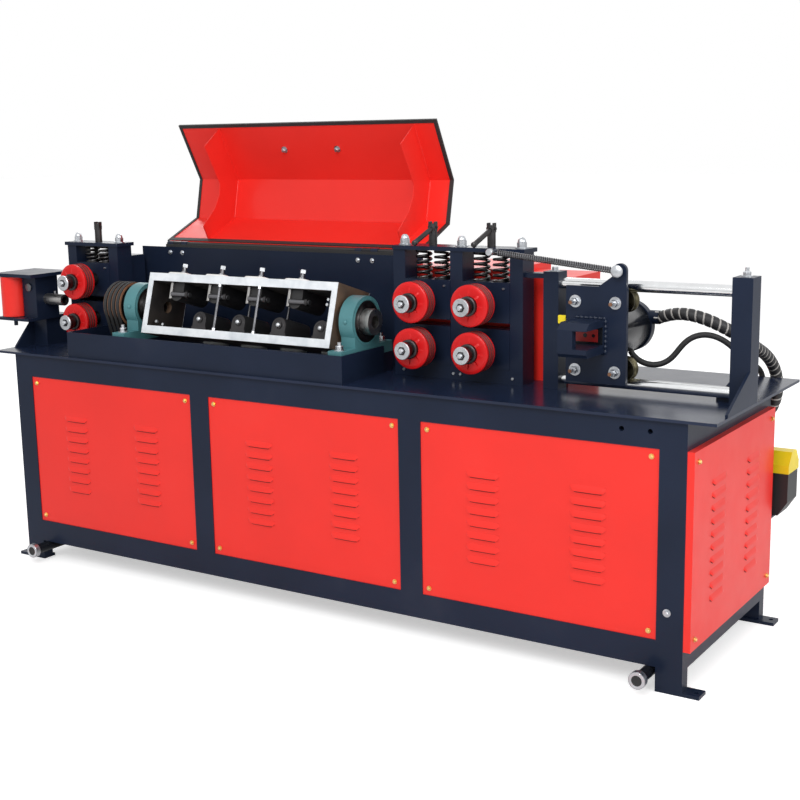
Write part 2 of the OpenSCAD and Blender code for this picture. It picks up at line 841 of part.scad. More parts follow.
module hood_fittings() {
  color(red) {
    for (x = hinge_xs) {
      difference() {
        union() {
          rod_x(x - knuckle_half, x + knuckle_half, hinge_y, hinge_z, knuckle_r);
          slab_x(x - knuckle_half, x + knuckle_half,
            placed(band([hood_section[0], along(hood_section[0], hood_section[1], 50)], -4, 0), hinge_y, hinge_z));
        }
        rod_x(x - knuckle_half - 1, x + knuckle_half + 1, hinge_y, hinge_z, hinge_pin / 2 + running_gap);
      }
    }
    translate([0, hinge_y + handle_at[0], hinge_z + handle_at[1]])
      rotate([handle_tilt, 0, 0]) {
        for (x = handle_xs)
          rod_z(x, 0, -46, 0, 5);
        rod_x(handle_xs[0] - 14, handle_xs[1] + 14, 0, -46, 7);
      }
  }
}

// Stands a piece of the drum on the bar line at its resting tilt
module on_drum() {
  translate([0, bar_y, bar_z]) rotate([-drum_tilt, 0, 0]) children();
}

module drum_walls() {
  color(white_metal)
  on_drum()
  for (s = [-1, 1])
    span([drum_left + drum_end, -drum_depth / 2, s * (inner_height + drum_wall / 2) - drum_wall / 2],
      [drum_right - drum_end, drum_depth / 2, s * (inner_height + drum_wall / 2) + drum_wall / 2]);
}

module drum_ends() {
  color([0.4, 0.3, 0.22])
  on_drum()
  for (x = [drum_left, drum_right - drum_end])
    difference() {
      span([x, -drum_depth / 2, -drum_height / 2], [x + drum_end, drum_depth / 2, drum_height / 2]);
      rod_x(x - 1, x + drum_end + 1, 0, 0, shaft_bore / 2);
    }
}

// Straightening die, a block with a rounded nose towards the bar
module die(x, s) {
  r = die_width / 2;
  z0 = die_gap / 2;
  scale([1, 1, s]) {
    span([x - r, -drum_depth / 2 + 22, z0 + r], [x + r, drum_depth / 2 - 22, inner_height]);
    rod_y(x, -drum_depth / 2 + 22, drum_depth / 2 - 22, z0 + r, r);
  }
}

module drum_dies() {
  color(dark)
  on_drum()
  for (k = [0:die_count - 1]) {
    die(die_first + k * die_pitch, 1);
    die(die_first + die_shift + k * die_pitch, -1);
  }
}

module drum_bolts() {
  color(steel)
  on_drum()
  for (k = [0:die_count - 1])
    for (s = [0, 1])
      rotate([s * 180, 0, 0])
        translate([die_first + k * die_pitch + s * die_shift, -bolt_setoff, drum_height / 2]) {
          translate([-0.64 * pad_length, -pad_depth / 2, 0]) cube([pad_length, pad_depth, 8]);
          cylinder(h = bolt_height, r = 9);
        }
}

module drum_shafts() {
  color(steel)
  difference() {
    union() {
      rod_x(drum_right, shaft_right, bar_y, bar_z, shaft_diameter / 2);
      rod_x(shaft_left, drum_left, bar_y, bar_z, shaft_diameter / 2);
    }
    rod_x(shaft_left - 1, shaft_right + 1, bar_y, bar_z, shaft_bore / 2);
  }
}

module drum_pulley() {
  color(steel) pulley(bar_y, bar_z, pulley_diameter / 2, shaft_diameter / 2);
}

// Grooved roller with its shaft, nose, washer and nut
module roller(x, z) {
  r = roller_diameter / 2;
  color(red)
  translate([x, roller_front, z])
    rotate([-90, 0, 0])
      rotate_extrude($fn = 64)
        polygon([[0, -shaft_nose - 18], [9, -shaft_nose - 18], [9, -shaft_nose - 6], [19, -shaft_nose - 6],
          [19, -shaft_nose], [23, -shaft_nose], [23, -12], [roller_shaft / 2 + 4, -12],
          [roller_shaft / 2 + 4, 0], [r - 2, 0], [r, 2],
          [r, 10], [r - 6, 15], [r, 20], [r - 6, 25], [r, 30], [r - 6, 35], [r, 40],
          [r, roller_width - 2], [r - 2, roller_width], [roller_shaft / 2, roller_width],
          [roller_shaft / 2, stand_y + stand_depth + 4 - roller_front],
          [0, stand_y + stand_depth + 4 - roller_front]]);
}

module inlet_roller_upper() {
  roller(inlet_x, upper_roller_z);
}

module inlet_roller_lower() {
  roller(inlet_x, lower_roller_z);
}

module feed_roller_upper_a() {
  roller(feed_x, upper_roller_z);
}

module feed_roller_lower_a() {
  roller(feed_x, lower_roller_z);
}

module feed_roller_upper_b() {
  roller(feed_x + window_pitch, upper_roller_z);
}

module feed_roller_lower_b() {
  roller(feed_x + window_pitch, lower_roller_z);
}

module pressure_screw(x, top) {
  color(steel)
  rod_z(x, stand_mid_y, top + 1, top + stand_plate + screw_height, screw_diameter / 2);
}

module screw_lever(x, top) {
  color(steel)
  translate([x, stand_mid_y, top + stand_plate + screw_height - 12])
      rotate([90 + lever_drop, 0, 0])
        cylinder(h = lever_length, r = 7.5);
}

module inlet_screw() {
  pressure_screw(inlet_x, inlet_top);
}

module feed_screw_a() {
  pressure_screw(feed_x, feed_top);
  screw_lever(feed_x, feed_top);
}

module feed_screw_b() {
  pressure_screw(feed_x + window_pitch, feed_top);
  screw_lever(feed_x + window_pitch, feed_top);
}

module shear_jaw() {
  difference() {
    slab_x(jaw_left, jaw_left + jaw_width, [[jaw_front, bar_z - 38], [jaw_front + 10, bar_z - 48],
      [carriage_y + 1, bar_z - 48], [carriage_y + 1, bar_z + 46], [jaw_front + 20, bar_z + 46],
      [jaw_front, bar_z + 28]]);
    span([jaw_left - 1, bar_y - 55, bar_z - 24], [jaw_left + jaw_width + 1, bar_y + 32, bar_z + 26]);
    span([jaw_left + jaw_mouth, jaw_front - 1, bar_z - 24], [jaw_left + jaw_width + 1, bar_y - 54, bar_z + 26]);
  }
}

module ram_cylinder() {
  r = cylinder_diameter / 2;
  rod_y(cylinder_x, carriage_back, carriage_back + cylinder_length, cylinder_z, r);
  rod_y(cylinder_x, carriage_back + cylinder_length - 24, carriage_back + cylinder_length, cylinder_z, r + 4);
  rod_x(cylinder_x, cylinder_x + port_reach, carriage_back + cylinder_length - port_inset,
    cylinder_z + port_rise, 20);
}

module carriage() {
  color(navy) {
    difference() {
      union() {
        span([carriage_left, carriage_y, lower_rod_z + 6], [carriage_right, carriage_back, upper_rod_z + 2]);
        slab_y(carriage_y, carriage_back, [[lug_x - 62, upper_rod_z - 10], [lug_x + 20, upper_rod_z - 10],
          [lug_x + 20, lug_z], [lug_x - 16, lug_z - 12], [lug_x - 62, upper_rod_z + 2]]);
        rod_y(lug_x, carriage_y, carriage_back, lug_z, 20);
      }
      for (x = wheel_xs)
        for (z = [upper_rod_z - wheel_offset, lower_rod_z + wheel_offset])
          rod_y(x, carriage_y - 1, carriage_back + 1, z, 9);
    }
    rod_y(lug_x, spring_y - 6, carriage_y + 1, lug_z, 5.5);
    shear_jaw();
    ram_cylinder();
  }
}

// Grooved guide wheel with its axle bolt
module wheel(x, z) {
  half = wheel_width / 2;
  groove = rod_diameter / 2 + slip_gap;
  translate([x, rod_y, z])
    rotate([-90, 0, 0])
      rotate_extrude($fn = 64)
        difference() {
          union() {
            translate([0, -half]) square([wheel_r, wheel_width]);
            translate([0, carriage_y - rod_y]) square([9, rod_y - carriage_y]);
          }
          translate([wheel_offset, 0]) circle(r = groove, $fn = 48);
        }
}

module carriage_wheels() {
  color(steel)
  for (x = wheel_xs)
    for (z = [upper_rod_z - wheel_offset, lower_rod_z + wheel_offset])
      wheel(x, z);
}

frame_posts();
frame_rails();
cross_rails();
foot_plates();
wheel_pipes();
table_plate();
front_panels();
rear_panels();
end_panels();
trough_front();
trough_sides();
rear_guard();
guard_hinges();
bearing_blocks();
bearing_pads();
drive_belts();
motor_shelf();
drive_motor();
motor_pulley();
stand_posts();
stand_plates();
roller_blocks();
pressure_springs();
drive_cover();
inlet_cover();
entry_bracket();
inlet_tube();
cutter_columns();
column_gussets();
guide_rods();
toolbox_body();
toolbox_lid();
toolbox_shelf();
hose_fittings();
wrapped_hose();
plain_hose();
return_spring();
hood_shell();
hood_ribs();
hood_trim();
hood_fittings();
drum_walls();
drum_ends();
drum_dies();
drum_bolts();
drum_shafts();
drum_pulley();
inlet_roller_upper();
inlet_roller_lower();
feed_roller_upper_a();
feed_roller_lower_a();
feed_roller_upper_b();
feed_roller_lower_b();
inlet_screw();
feed_screw_a();
feed_screw_b();
entry_roller_front();
entry_roller_rear();
carriage();
carriage_wheels();
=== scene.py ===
"""Looks of the rebar straightening and cutting machine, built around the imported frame, in metres."""

import math

import bmesh
import bpy
import numpy as np
from mathutils import Matrix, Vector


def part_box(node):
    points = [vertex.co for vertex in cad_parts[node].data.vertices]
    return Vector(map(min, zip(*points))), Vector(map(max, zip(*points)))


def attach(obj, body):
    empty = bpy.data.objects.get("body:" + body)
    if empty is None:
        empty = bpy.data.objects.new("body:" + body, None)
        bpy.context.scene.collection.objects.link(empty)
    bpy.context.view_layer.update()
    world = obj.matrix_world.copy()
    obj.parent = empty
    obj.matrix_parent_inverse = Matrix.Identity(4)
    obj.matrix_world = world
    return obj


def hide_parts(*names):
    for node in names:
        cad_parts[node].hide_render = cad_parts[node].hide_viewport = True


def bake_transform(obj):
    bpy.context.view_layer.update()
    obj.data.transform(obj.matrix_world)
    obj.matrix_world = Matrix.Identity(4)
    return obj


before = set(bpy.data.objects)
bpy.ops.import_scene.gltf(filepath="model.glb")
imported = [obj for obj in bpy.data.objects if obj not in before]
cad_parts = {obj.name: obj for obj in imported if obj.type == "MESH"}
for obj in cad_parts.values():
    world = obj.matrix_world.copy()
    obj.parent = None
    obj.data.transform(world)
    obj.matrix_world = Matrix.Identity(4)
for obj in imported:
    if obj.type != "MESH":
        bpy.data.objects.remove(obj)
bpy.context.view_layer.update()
ROOT = "machine"

BAR_Y, BAR_Z = -0.190, 0.920
STAND_MID_Y = -0.075
FEED_XS = (0.327, 0.527)
INLET_X = -1.066
UPPER_Z, LOWER_Z = 0.989, 0.851
FEED_TOP, INLET_TOP = 1.147, 1.119
TABLE_Z = 0.750
DRUM_TILT = math.radians(-17)
DRUM_LEFT, DRUM_RIGHT = -0.668, 0.094
DIE_FIRST, DIE_PITCH, DIE_SHIFT = -0.558, 0.161, 0.115
BOLT_Y = 0.045
PULLEY = (-0.832, BAR_Y, BAR_Z)
BEARING_XS = (-0.749, 0.133)
HINGE_Y, HINGE_Z = 0.073, 1.108
HOOD_LEFT, HOOD_RIGHT = -0.872, 0.180
BAYS = ((-1.164, -0.436), (-0.360, 0.360), (0.436, 1.164))
PANEL_LOW, PANEL_HIGH = 0.145, 0.666
WHEEL_XS = (0.831, 0.951)
WHEEL_ZS = (1.012, 0.819)
CARRIAGE_Y = -0.145
RAM_X, RAM_Z = 0.891, 0.918
PORT = (0.985, 0.097, 0.945)
LUG_X, LUG_Z = 0.962, 1.101
SPRING_Y = -0.1553
SPRING_PIN = np.array([0.571, SPRING_Y, 1.141])
SPRING_LUG = np.array([LUG_X, SPRING_Y, LUG_Z])
COIL_LOW = 1.048
SCREW_RISE = 0.065
LEVER_LENGTH = 0.112
LEVER_DROP = math.radians(20)


# Finishes

def finish_nodes(name):
    """A new material with its node tree, its main shader and its Object coordinates."""
    mat = bpy.data.materials.new(name)
    mat.use_nodes = True
    tree = mat.node_tree
    shader = tree.nodes["Principled BSDF"]
    coords = tree.nodes.new("ShaderNodeTexCoord")
    return mat, tree, shader, coords.outputs["Object"]


def noise_at(tree, coords, scale, detail=4.0, stretch=None):
    """Fractal noise of a given scale on Object coordinates, stretched along an axis where asked."""
    if stretch is not None:
        mapping = tree.nodes.new("ShaderNodeMapping")
        mapping.inputs["Scale"].default_value = stretch
        tree.links.new(coords, mapping.inputs["Vector"])
        coords = mapping.outputs["Vector"]
    node = tree.nodes.new("ShaderNodeTexNoise")
    node.inputs["Scale"].default_value = scale
    node.inputs["Detail"].default_value = detail
    tree.links.new(coords, node.inputs["Vector"])
    return node.outputs["Fac"]


def ramp_of(tree, value, stops):
    """Colour ramp over a value, given as (position, colour) stops."""
    node = tree.nodes.new("ShaderNodeValToRGB")
    ramp = node.color_ramp
    while len(ramp.elements) < len(stops):
        ramp.elements.new(0.5)
    for element, (place, colour) in zip(ramp.elements, stops):
        element.position = place
        element.color = (*colour, 1.0)
    tree.links.new(value, node.inputs["Fac"])
    return node.outputs["Color"]


def add_bump(tree, shader, height, strength, distance):
    """Small surface relief from a height value."""
    bump = tree.nodes.new("ShaderNodeBump")
    bump.inputs["Strength"].default_value = strength
    bump.inputs["Distance"].default_value = distance
    tree.links.new(height, bump.inputs["Height"])
    tree.links.new(bump.outputs["Normal"], shader.inputs["Normal"])


def gloss_paint(name, colour, rough, coat, spread=0.10, dust=(0.5, 0.5, 0.5), dust_share=0.03, shine=0.5):
    """Sprayed enamel: colour clouded by slow noise, a little dust in patches, fine orange peel."""
    mat, tree, shader, coords = finish_nodes(name)
    slow = noise_at(tree, coords, 3.0, 6.0)
    low = tuple(c * (1 - spread) for c in colour)
    high = tuple(min(1.0, c * (1 + spread)) for c in colour)
    dusty = tuple(c * (1 - dust_share) + d * dust_share for c, d in zip(high, dust))
    tint = ramp_of(tree, slow, [(0.25, low), (0.6, high), (0.85, dusty)])
    tree.links.new(tint, shader.inputs["Base Color"])
    smear = noise_at(tree, coords, 14.0, 5.0)
    wear = ramp_of(tree, smear, [(0.3, (rough * 0.92,) * 3), (0.75, (min(1.0, rough * 1.15),) * 3)])
    tree.links.new(wear, shader.inputs["Roughness"])
    shader.inputs["Specular IOR Level"].default_value = shine
    shader.inputs["Coat Weight"].default_value = coat
    shader.inputs["Coat Roughness"].default_value = 0.12
    add_bump(tree, shader, noise_at(tree, coords, 160.0, 2.0), 0.06, 0.001)
    return mat


def metal(name, colour, rough, grain=(1, 1, 1), spread=0.16, stain=None):
    """Bare metal: brushed grain by stretched noise, with slow stains in its tone."""
    mat, tree, shader, coords = finish_nodes(name)
    grain_value = noise_at(tree, coords, 60.0, 6.0, grain)
    slow = noise_at(tree, coords, 16.0, 5.0)
    low = stain or tuple(c * (1 - spread) for c in colour)
    tint = ramp_of(tree, slow, [(0.28, low), (0.55, colour)])
    tree.links.new(tint, shader.inputs["Base Color"])
    wear = ramp_of(tree, grain_value, [(0.3, (rough * 0.7,) * 3), (0.7, (min(1.0, rough * 1.4),) * 3)])
    tree.links.new(wear, shader.inputs["Roughness"])
    shader.inputs["Metallic"].default_value = 1.0
    add_bump(tree, shader, grain_value, 0.08, 0.0006)
    return mat


def plain(name, colour, rough, bump_scale=90.0, bump=0.1):
    """Rubber or plastic: one colour with faint clouding and a fine grain."""
    mat, tree, shader, coords = finish_nodes(name)
    slow = noise_at(tree, coords, 12.0, 4.0)
    tint = ramp_of(tree, slow, [(0.3, tuple(c * 0.8 for c in colour)), (0.7, colour)])
    tree.links.new(tint, shader.inputs["Base Color"])
    shader.inputs["Roughness"].default_value = rough
    add_bump(tree, shader, noise_at(tree, coords, bump_scale, 3.0), bump, 0.001)
    return mat


def math_of(tree, operation, *values):
    """Result of a math node on linked values and plain numbers."""
    node = tree.nodes.new("ShaderNodeMath")
    node.operation = operation
    for socket, value in zip(node.inputs, values):
        if isinstance(value, float):
            socket.default_value = value
        else:
            tree.links.new(value, socket)
    return node.outputs[0]


def slab_mask(tree, coords, way, middle, half):
    """One between two planes square to a direction, zero outside them."""
    dot = tree.nodes.new("ShaderNodeVectorMath")
    dot.operation = "DOT_PRODUCT"
    dot.inputs[1].default_value = way
    tree.links.new(coords, dot.inputs[0])
    return math_of(tree, "COMPARE", dot.outputs["Value"], middle, half)


def mixed(tree, share, first, second):
    """First colour where the share is zero, second where it is one."""
    mix = tree.nodes.new("ShaderNodeMix")
    mix.data_type = "RGBA"
    tree.links.new(share, mix.inputs[0])
    tree.links.new(first, mix.inputs[6])
    tree.links.new(second, mix.inputs[7])
    return mix.outputs[2]


def drum_casting(name):
    """Cast drum: rusty iron, near black inside the frame, with a pale milled rim at its front and back."""
    mat, tree, shader, coords = finish_nodes(name)
    c, s = math.cos(DRUM_TILT), math.sin(DRUM_TILT)
    core = slab_mask(tree, coords, (0.0, c, s), BAR_Y * c + BAR_Z * s, 0.0855)
    low = slab_mask(tree, coords, (0.0, -s, c), -BAR_Y * s + BAR_Z * c, 0.0755)
    span = slab_mask(tree, coords, (1.0, 0.0, 0.0), (DRUM_LEFT + DRUM_RIGHT) / 2, 0.3620)
    inside = math_of(tree, "MULTIPLY", low, span)
    rust = ramp_of(tree, noise_at(tree, coords, 9.0, 7.0),
                   [(0.3, (0.045, 0.032, 0.026)), (0.55, (0.12, 0.075, 0.048)), (0.8, (0.17, 0.12, 0.09))])
    # darker, near black, on the faces inside the drum's opening
    inner_dark = ramp_of(tree, noise_at(tree, coords, 14.0, 6.0),
                   [(0.3, (0.012, 0.011, 0.011)), (0.7, (0.035, 0.029, 0.025))])
    milled = ramp_of(tree, noise_at(tree, coords, 22.0, 5.0),
                     [(0.25, (0.56, 0.60, 0.64)), (0.6, (0.76, 0.79, 0.82))])
    body = mixed(tree, inside, rust, inner_dark)
    tree.links.new(mixed(tree, core, milled, body), shader.inputs["Base Color"])
    shader.inputs["Roughness"].default_value = 0.5
    add_bump(tree, shader, noise_at(tree, coords, 70.0, 6.0), 0.25, 0.001)
    return mat


def banded(name, dark, light, rough):
    """Two tones picked by the piece's own band attribute: the wrapping and the gaps between its turns."""
    mat, tree, shader, coords = finish_nodes(name)
    band = tree.nodes.new("ShaderNodeAttribute")
    band.attribute_name = "band"
    tint = ramp_of(tree, band.outputs["Fac"], [(0.35, light), (0.65, dark)])
    tree.links.new(tint, shader.inputs["Base Color"])
    shader.inputs["Roughness"].default_value = rough
    add_bump(tree, shader, noise_at(tree, coords, 220.0, 3.0), 0.15, 0.0008)
    return mat


NAVY = gloss_paint("navy_enamel", (0.0095, 0.0155, 0.034), 0.30, 0.04, 0.16, shine=0.16)
TABLE = gloss_paint("table_enamel", (0.0110, 0.0180, 0.042), 0.22, 0.10, 0.16, shine=0.24)
RED = gloss_paint("red_enamel", (0.80, 0.028, 0.020), 0.34, 0.10, 0.04, (0.8, 0.3, 0.25), 0.04, shine=0.25)
TEAL = gloss_paint("teal_casting_paint", (0.056, 0.178, 0.195), 0.48, 0.0, 0.25)
BLACK_GLOSS = gloss_paint("black_enamel", (0.007, 0.008, 0.011), 0.22, 0.15, 0.2, shine=0.22)
CHROME = metal("ground_rod_steel", (0.80, 0.81, 0.82), 0.16, (1, 8, 8), 0.10)
STEEL = metal("turned_steel", (0.42, 0.41, 0.40), 0.34, (8, 1, 1), 0.25)
ZINC = metal("zinc_plating", (0.58, 0.60, 0.63), 0.32, (1, 1, 1), 0.22)
YELLOW_ZINC = metal("yellow_zinc_plating", (0.80, 0.55, 0.20), 0.32, (1, 1, 1), 0.25)
DARK_IRON = metal("oiled_iron", (0.060, 0.058, 0.060), 0.38, (1, 1, 1), 0.35)
RUST = plain("rusty_rim", (0.22, 0.10, 0.05), 0.7, 120.0, 0.3)
RUBBER = plain("black_rubber", (0.014, 0.014, 0.015), 0.62)
PLASTIC_BLACK = plain("black_plastic", (0.016, 0.017, 0.019), 0.45, 200.0, 0.08)
PLASTIC_YELLOW = plain("yellow_plastic", (0.90, 0.70, 0.012), 0.35, 160.0, 0.05)
PALE = plain("pale_plastic", (0.90, 0.90, 0.88), 0.5)
DRUM = drum_casting("drum_iron")
WRAP = banded("hose_wrapping", (0.012, 0.012, 0.014), (0.40, 0.38, 0.36), 0.5)
ROLLER_RED = gloss_paint("roller_enamel", (0.62, 0.009, 0.010), 0.32, 0.10, 0.06,
                         (0.6, 0.2, 0.2), 0.03, shine=0.22)
DIE_SOOT = plain("die_soot", (0.014, 0.014, 0.015), 0.55, 70.0, 0.2)
STUD = metal("dark_stud", (0.16, 0.16, 0.17), 0.40)
BLADE_RED = plain("blade_red", (0.34, 0.006, 0.005), 0.45)
WHEEL = metal("wheel_plating", (0.11, 0.098, 0.062), 0.36)
# painted shade for the roller grooves: a darker red on their walls and bottoms
GROOVE_SHADE_RED = plain("groove_shade_red", (0.13, 0.003, 0.003), 0.6)
# painted shade and shadow of the louvres: a dark red for their lip openings and for the strip under them
LOUVRE_SHADE_RED = plain("louvre_shade", (0.10, 0.006, 0.005), 0.8)


# Shapes

class Form:
    """Surfaces gathered for one piece: vertex arrays, faces with a material number and a smooth flag each."""

    def __init__(self):
        self.points = []
        self.faces = []
        self.count = 0

    def grid(self, p, close_u=False, close_v=False, material=0, smooth=True):
        """Quads over a grid p[u, v], joined round where a direction is closed."""
        p = np.asarray(p, float)
        nu, nv = p.shape[:2]
        index = np.arange(nu * nv).reshape(nu, nv) + self.count
        rows = np.vstack([index, index[:1]]) if close_u else index
        rows = np.hstack([rows, rows[:, :1]]) if close_v else rows
        quads = np.stack([rows[:-1, :-1], rows[1:, :-1], rows[1:, 1:], rows[:-1, 1:]], -1).reshape(-1, 4)
        self.points.append(p.reshape(-1, 3))
        self.count += nu * nv
        self.faces += [(q, material, smooth) for q in quads.tolist()]
        return index

    def lid(self, indices, material=0):
        """One flat face over a loop of vertices."""
        self.faces.append((list(map(int, indices)), material, False))

    def block(self, low, high, edge=0.0012, material=0, place=None):
        """Box with chamfered edges: each corner is three points, each set back by the edge along one axis."""
        low, high = np.asarray(low, float), np.asarray(high, float)
        mid, half = (low + high) / 2, (high - low) / 2
        edge = min(edge, 0.4 * half.min())
        signs = np.array([[x, y, z] for x in (-1, 1) for y in (-1, 1) for z in (-1, 1)], float)
        keep = 1 - np.eye(3)
        corners = mid + signs[:, None, :] * (half - edge * keep[None])
        flat = corners.reshape(-1, 3)
        if place is not None:
            flat = place(flat)
        base = self.count
        self.points.append(flat)
        self.count += 24
        number = {tuple(s): i for i, s in enumerate(signs.astype(int).tolist())}
        at = lambda s, a: base + number[tuple(s)] * 3 + a
        for a in range(3):
            b, c = (a + 1) % 3, (a + 2) % 3
            for s in (-1, 1):
                loop = []
                for sb, sc in ((-1, -1), (1, -1), (1, 1), (-1, 1)):
                    corner = [0, 0, 0]
                    corner[a], corner[b], corner[c] = s, sb, sc
                    loop.append(at(corner, a))
                self.faces.append((loop if s > 0 else loop[::-1], material, False))
            for sb in (-1, 1):
                for sc in (-1, 1):
                    one, two = [0, 0, 0], [0, 0, 0]
                    one[a], one[b], one[c] = -1, sb, sc
                    two[a], two[b], two[c] = 1, sb, sc
                    loop = [at(one, b), at(two, b), at(two, c), at(one, c)]
                    self.faces.append((loop if sb * sc > 0 else loop[::-1], material, False))
        for s in number:
            loop = [at(s, 0), at(s, 1), at(s, 2)]
            self.faces.append((loop if np.prod(s) > 0 else loop[::-1], material, False))

    def lathe(self, profile, origin, axis, seg=40, material=0, materials=None):
        """Profile of (radius, height) points turned about an axis through an origin."""
        u, v, w = basis(axis)
        profile = np.asarray(profile, float)
        turn = np.linspace(0, 2 * np.pi, seg, endpoint=False)
        ring = np.cos(turn)[:, None] * u + np.sin(turn)[:, None] * v
        p = np.asarray(origin, float) + profile[:, None, 1:] * w + profile[:, None, :1] * ring[None]
        for i in range(len(profile) - 1):
            flat = abs(profile[i + 1, 1] - profile[i, 1]) < 1e-7 or seg < 10
            number = materials[i] if materials else material
            self.grid(p[i:i + 2], close_v=True, material=number, smooth=not flat)

    def prism(self, outline, axis, start, end, edge=0.0008, material=0, place=None):
        """Flat outline pushed along an axis, its ends set in by a chamfer along the corner bisectors."""
        outline = np.asarray(outline, float)
        before, after = np.roll(outline, 1, 0) - outline, np.roll(outline, -1, 0) - outline
        normal = lambda d: np.stack([-d[:, 1], d[:, 0]], 1) / np.linalg.norm(d, axis=1)[:, None]
        n, m = normal(-before), normal(after)
        bisector = (n + m) / (1 + (n * m).sum(1))[:, None]
        area = np.cross(outline, np.roll(outline, -1, 0)).sum()
        inset = outline + math.copysign(edge, area) * bisector
        layers = [(inset, start), (outline, start + edge), (outline, end - edge), (inset, end)]
        order = {"x": (2, 0, 1), "y": (0, 2, 1), "z": (0, 1, 2)}[axis]
        p = np.stack([np.column_stack([ring, np.full(len(ring), t)])[:, order] for ring, t in layers])
        if place is not None:
            p = place(p.reshape(-1, 3)).reshape(p.shape)
        index = self.grid(p, close_v=True, material=material, smooth=False)
        self.lid(index[0][::-1], material)
        self.lid(index[-1], material)

    def tube(self, path, radius, seg=12, material=0):
        """Round tube: a circle carried along a path, square to it."""
        path = np.asarray(path, float)
        self.pipe(path[:, None] + radius * circle_frames(path, seg), material)

    def pipe(self, p, material=0):
        """Pipe over rings p[ring, corner], with a lid at each end."""
        index = self.grid(p, close_v=True, material=material)
        self.lid(index[0], material)
        self.lid(index[-1][::-1], material)

    def bolt(self, at, axis, across=0.018, head=0.009, washer=0.0, stud=0.0, material=0):
        """Hexagon head on a washer, with a stud end where asked."""
        r = across / 2
        base = 0.0
        at = np.asarray(at, float)
        if washer:
            self.lathe([(0, 0), (washer, 0), (washer, 0.0022), (0, 0.0022)], at, axis, 24, material)
            base = 0.0022
        self.lathe([(0, base), (r, base), (r, base + head * 0.8), (r * 0.82, base + head), (0, base + head)],
                   at, axis, 6, material)
        if stud:
            self.lathe([(0, base + head), (r * 0.52, base + head), (r * 0.52, base + head + stud),
                        (0, base + head + stud)], at, axis, 12, material)

    def piece(self, name, body, materials, replaces=(), slot=None, blend=None, sharp=35.0):
        """The gathered surfaces as one mesh object, on its body unless a blend is given, then left free with
        its transform baked in.
        """
        points = np.concatenate(self.points)
        mesh = bpy.data.meshes.new(name)
        mesh.from_pydata(points.tolist(), [], [f for f, _, _ in self.faces])
        mesh.polygons.foreach_set("material_index", [m for _, m, _ in self.faces])
        mesh.polygons.foreach_set("use_smooth", [s for _, _, s in self.faces])
        for mat in materials:
            mesh.materials.append(mat)
        work = bmesh.new()
        work.from_mesh(mesh)
        bmesh.ops.remove_doubles(work, verts=work.verts, dist=1e-6)
        bmesh.ops.dissolve_degenerate(work, dist=1e-7, edges=work.edges)
        bmesh.ops.recalc_face_normals(work, faces=work.faces)
        work.to_mesh(mesh)
        work.free()
        mesh.set_sharp_from_angle(angle=math.radians(sharp))
        obj = add_object(name, mesh)
        if blend is None:
            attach(obj, body)
        else:
            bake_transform(obj)
        if replaces:
            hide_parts(*replaces)
        return obj


def add_object(name, data):
    """A new object in the scene."""
    obj = bpy.data.objects.new(name, data)
    bpy.context.scene.collection.objects.link(obj)
    return obj


def basis(axis):
    """Two directions square to an axis, and the axis itself."""
    w = np.asarray(axis, float)
    w = w / np.linalg.norm(w)
    help_axis = np.array([0, 0, 1.0]) if abs(w[2]) < 0.9 else np.array([1.0, 0, 0])
    u = np.cross(help_axis, w)
    u /= np.linalg.norm(u)
    return u, np.cross(w, u), w


def circle_frames(path, seg, off_path=(-1.0, 1.0, 1.0)):
    """Unit circles square to a path, started from a direction that never lies along it."""
    along = np.gradient(path, axis=0)
    along /= np.linalg.norm(along, axis=1)[:, None]
    side = np.cross(along, np.asarray(off_path, float))
    side /= np.linalg.norm(side, axis=1)[:, None]
    up = np.cross(along, side)
    turn = np.linspace(0, 2 * np.pi, seg, endpoint=False)
    return np.cos(turn)[None, :, None] * side[:, None] + np.sin(turn)[None, :, None] * up[:, None]


def rounded(points, count):
    """Evenly spaced points on a smooth cubic through the given ones, by arc length."""
    points = np.asarray(points, float)
    n = len(points)
    tangents = np.gradient(points, axis=0)
    t = np.linspace(0, n - 1, 40 * n)
    i = np.minimum(t.astype(int), n - 2)
    f = (t - i)[:, None]
    a, b, ta, tb = points[i], points[i + 1], tangents[i], tangents[i + 1]
    fine = ((2 * f ** 3 - 3 * f ** 2 + 1) * a + (f ** 3 - 2 * f ** 2 + f) * ta
            + (3 * f ** 2 - 2 * f ** 3) * b + (f ** 3 - f ** 2) * tb)
    run = np.concatenate([[0], np.cumsum(np.linalg.norm(np.diff(fine, axis=0), axis=1))])
    even = np.linspace(0, run[-1], count)
    return np.stack([np.interp(even, run, fine[:, k]) for k in range(3)], 1), run[-1]


def helix(start, end, radius, turns, per_turn):
    """Points of a coil from start to end: a circle turning as it moves along."""
    start, end = np.asarray(start, float), np.asarray(end, float)
    u, v, _ = basis(end - start)
    t = np.linspace(0, 1, int(turns * per_turn) + 1)
    turn = 2 * np.pi * turns * t
    return (start + t[:, None] * (end - start)
            + radius * (np.cos(turn)[:, None] * u + np.sin(turn)[:, None] * v))


def coil(form, start, end, radius, wire, turns, per_turn, seg):
    """Coil of round wire: a circle carried along a helix, started from its radial direction."""
    line = helix(start, end, radius, turns, per_turn)
    axis = basis(np.asarray(end, float) - np.asarray(start, float))[2]
    form.pipe(line[:, None] + wire * circle_frames(line, seg, axis))


def on_drum(p):
    """Points from the drum's own frame to the row frame: turned by its tilt, then set on the bar line."""
    p = np.asarray(p, float)
    c, s = math.cos(DRUM_TILT), math.sin(DRUM_TILT)
    return np.stack([p[:, 0], BAR_Y + c * p[:, 1] - s * p[:, 2], BAR_Z + s * p[:, 1] + c * p[:, 2]], 1)


def drum_way(d):
    """A direction from the drum's own frame to the row frame."""
    c, s = math.cos(DRUM_TILT), math.sin(DRUM_TILT)
    return np.array([d[0], c * d[1] - s * d[2], s * d[1] + c * d[2]])


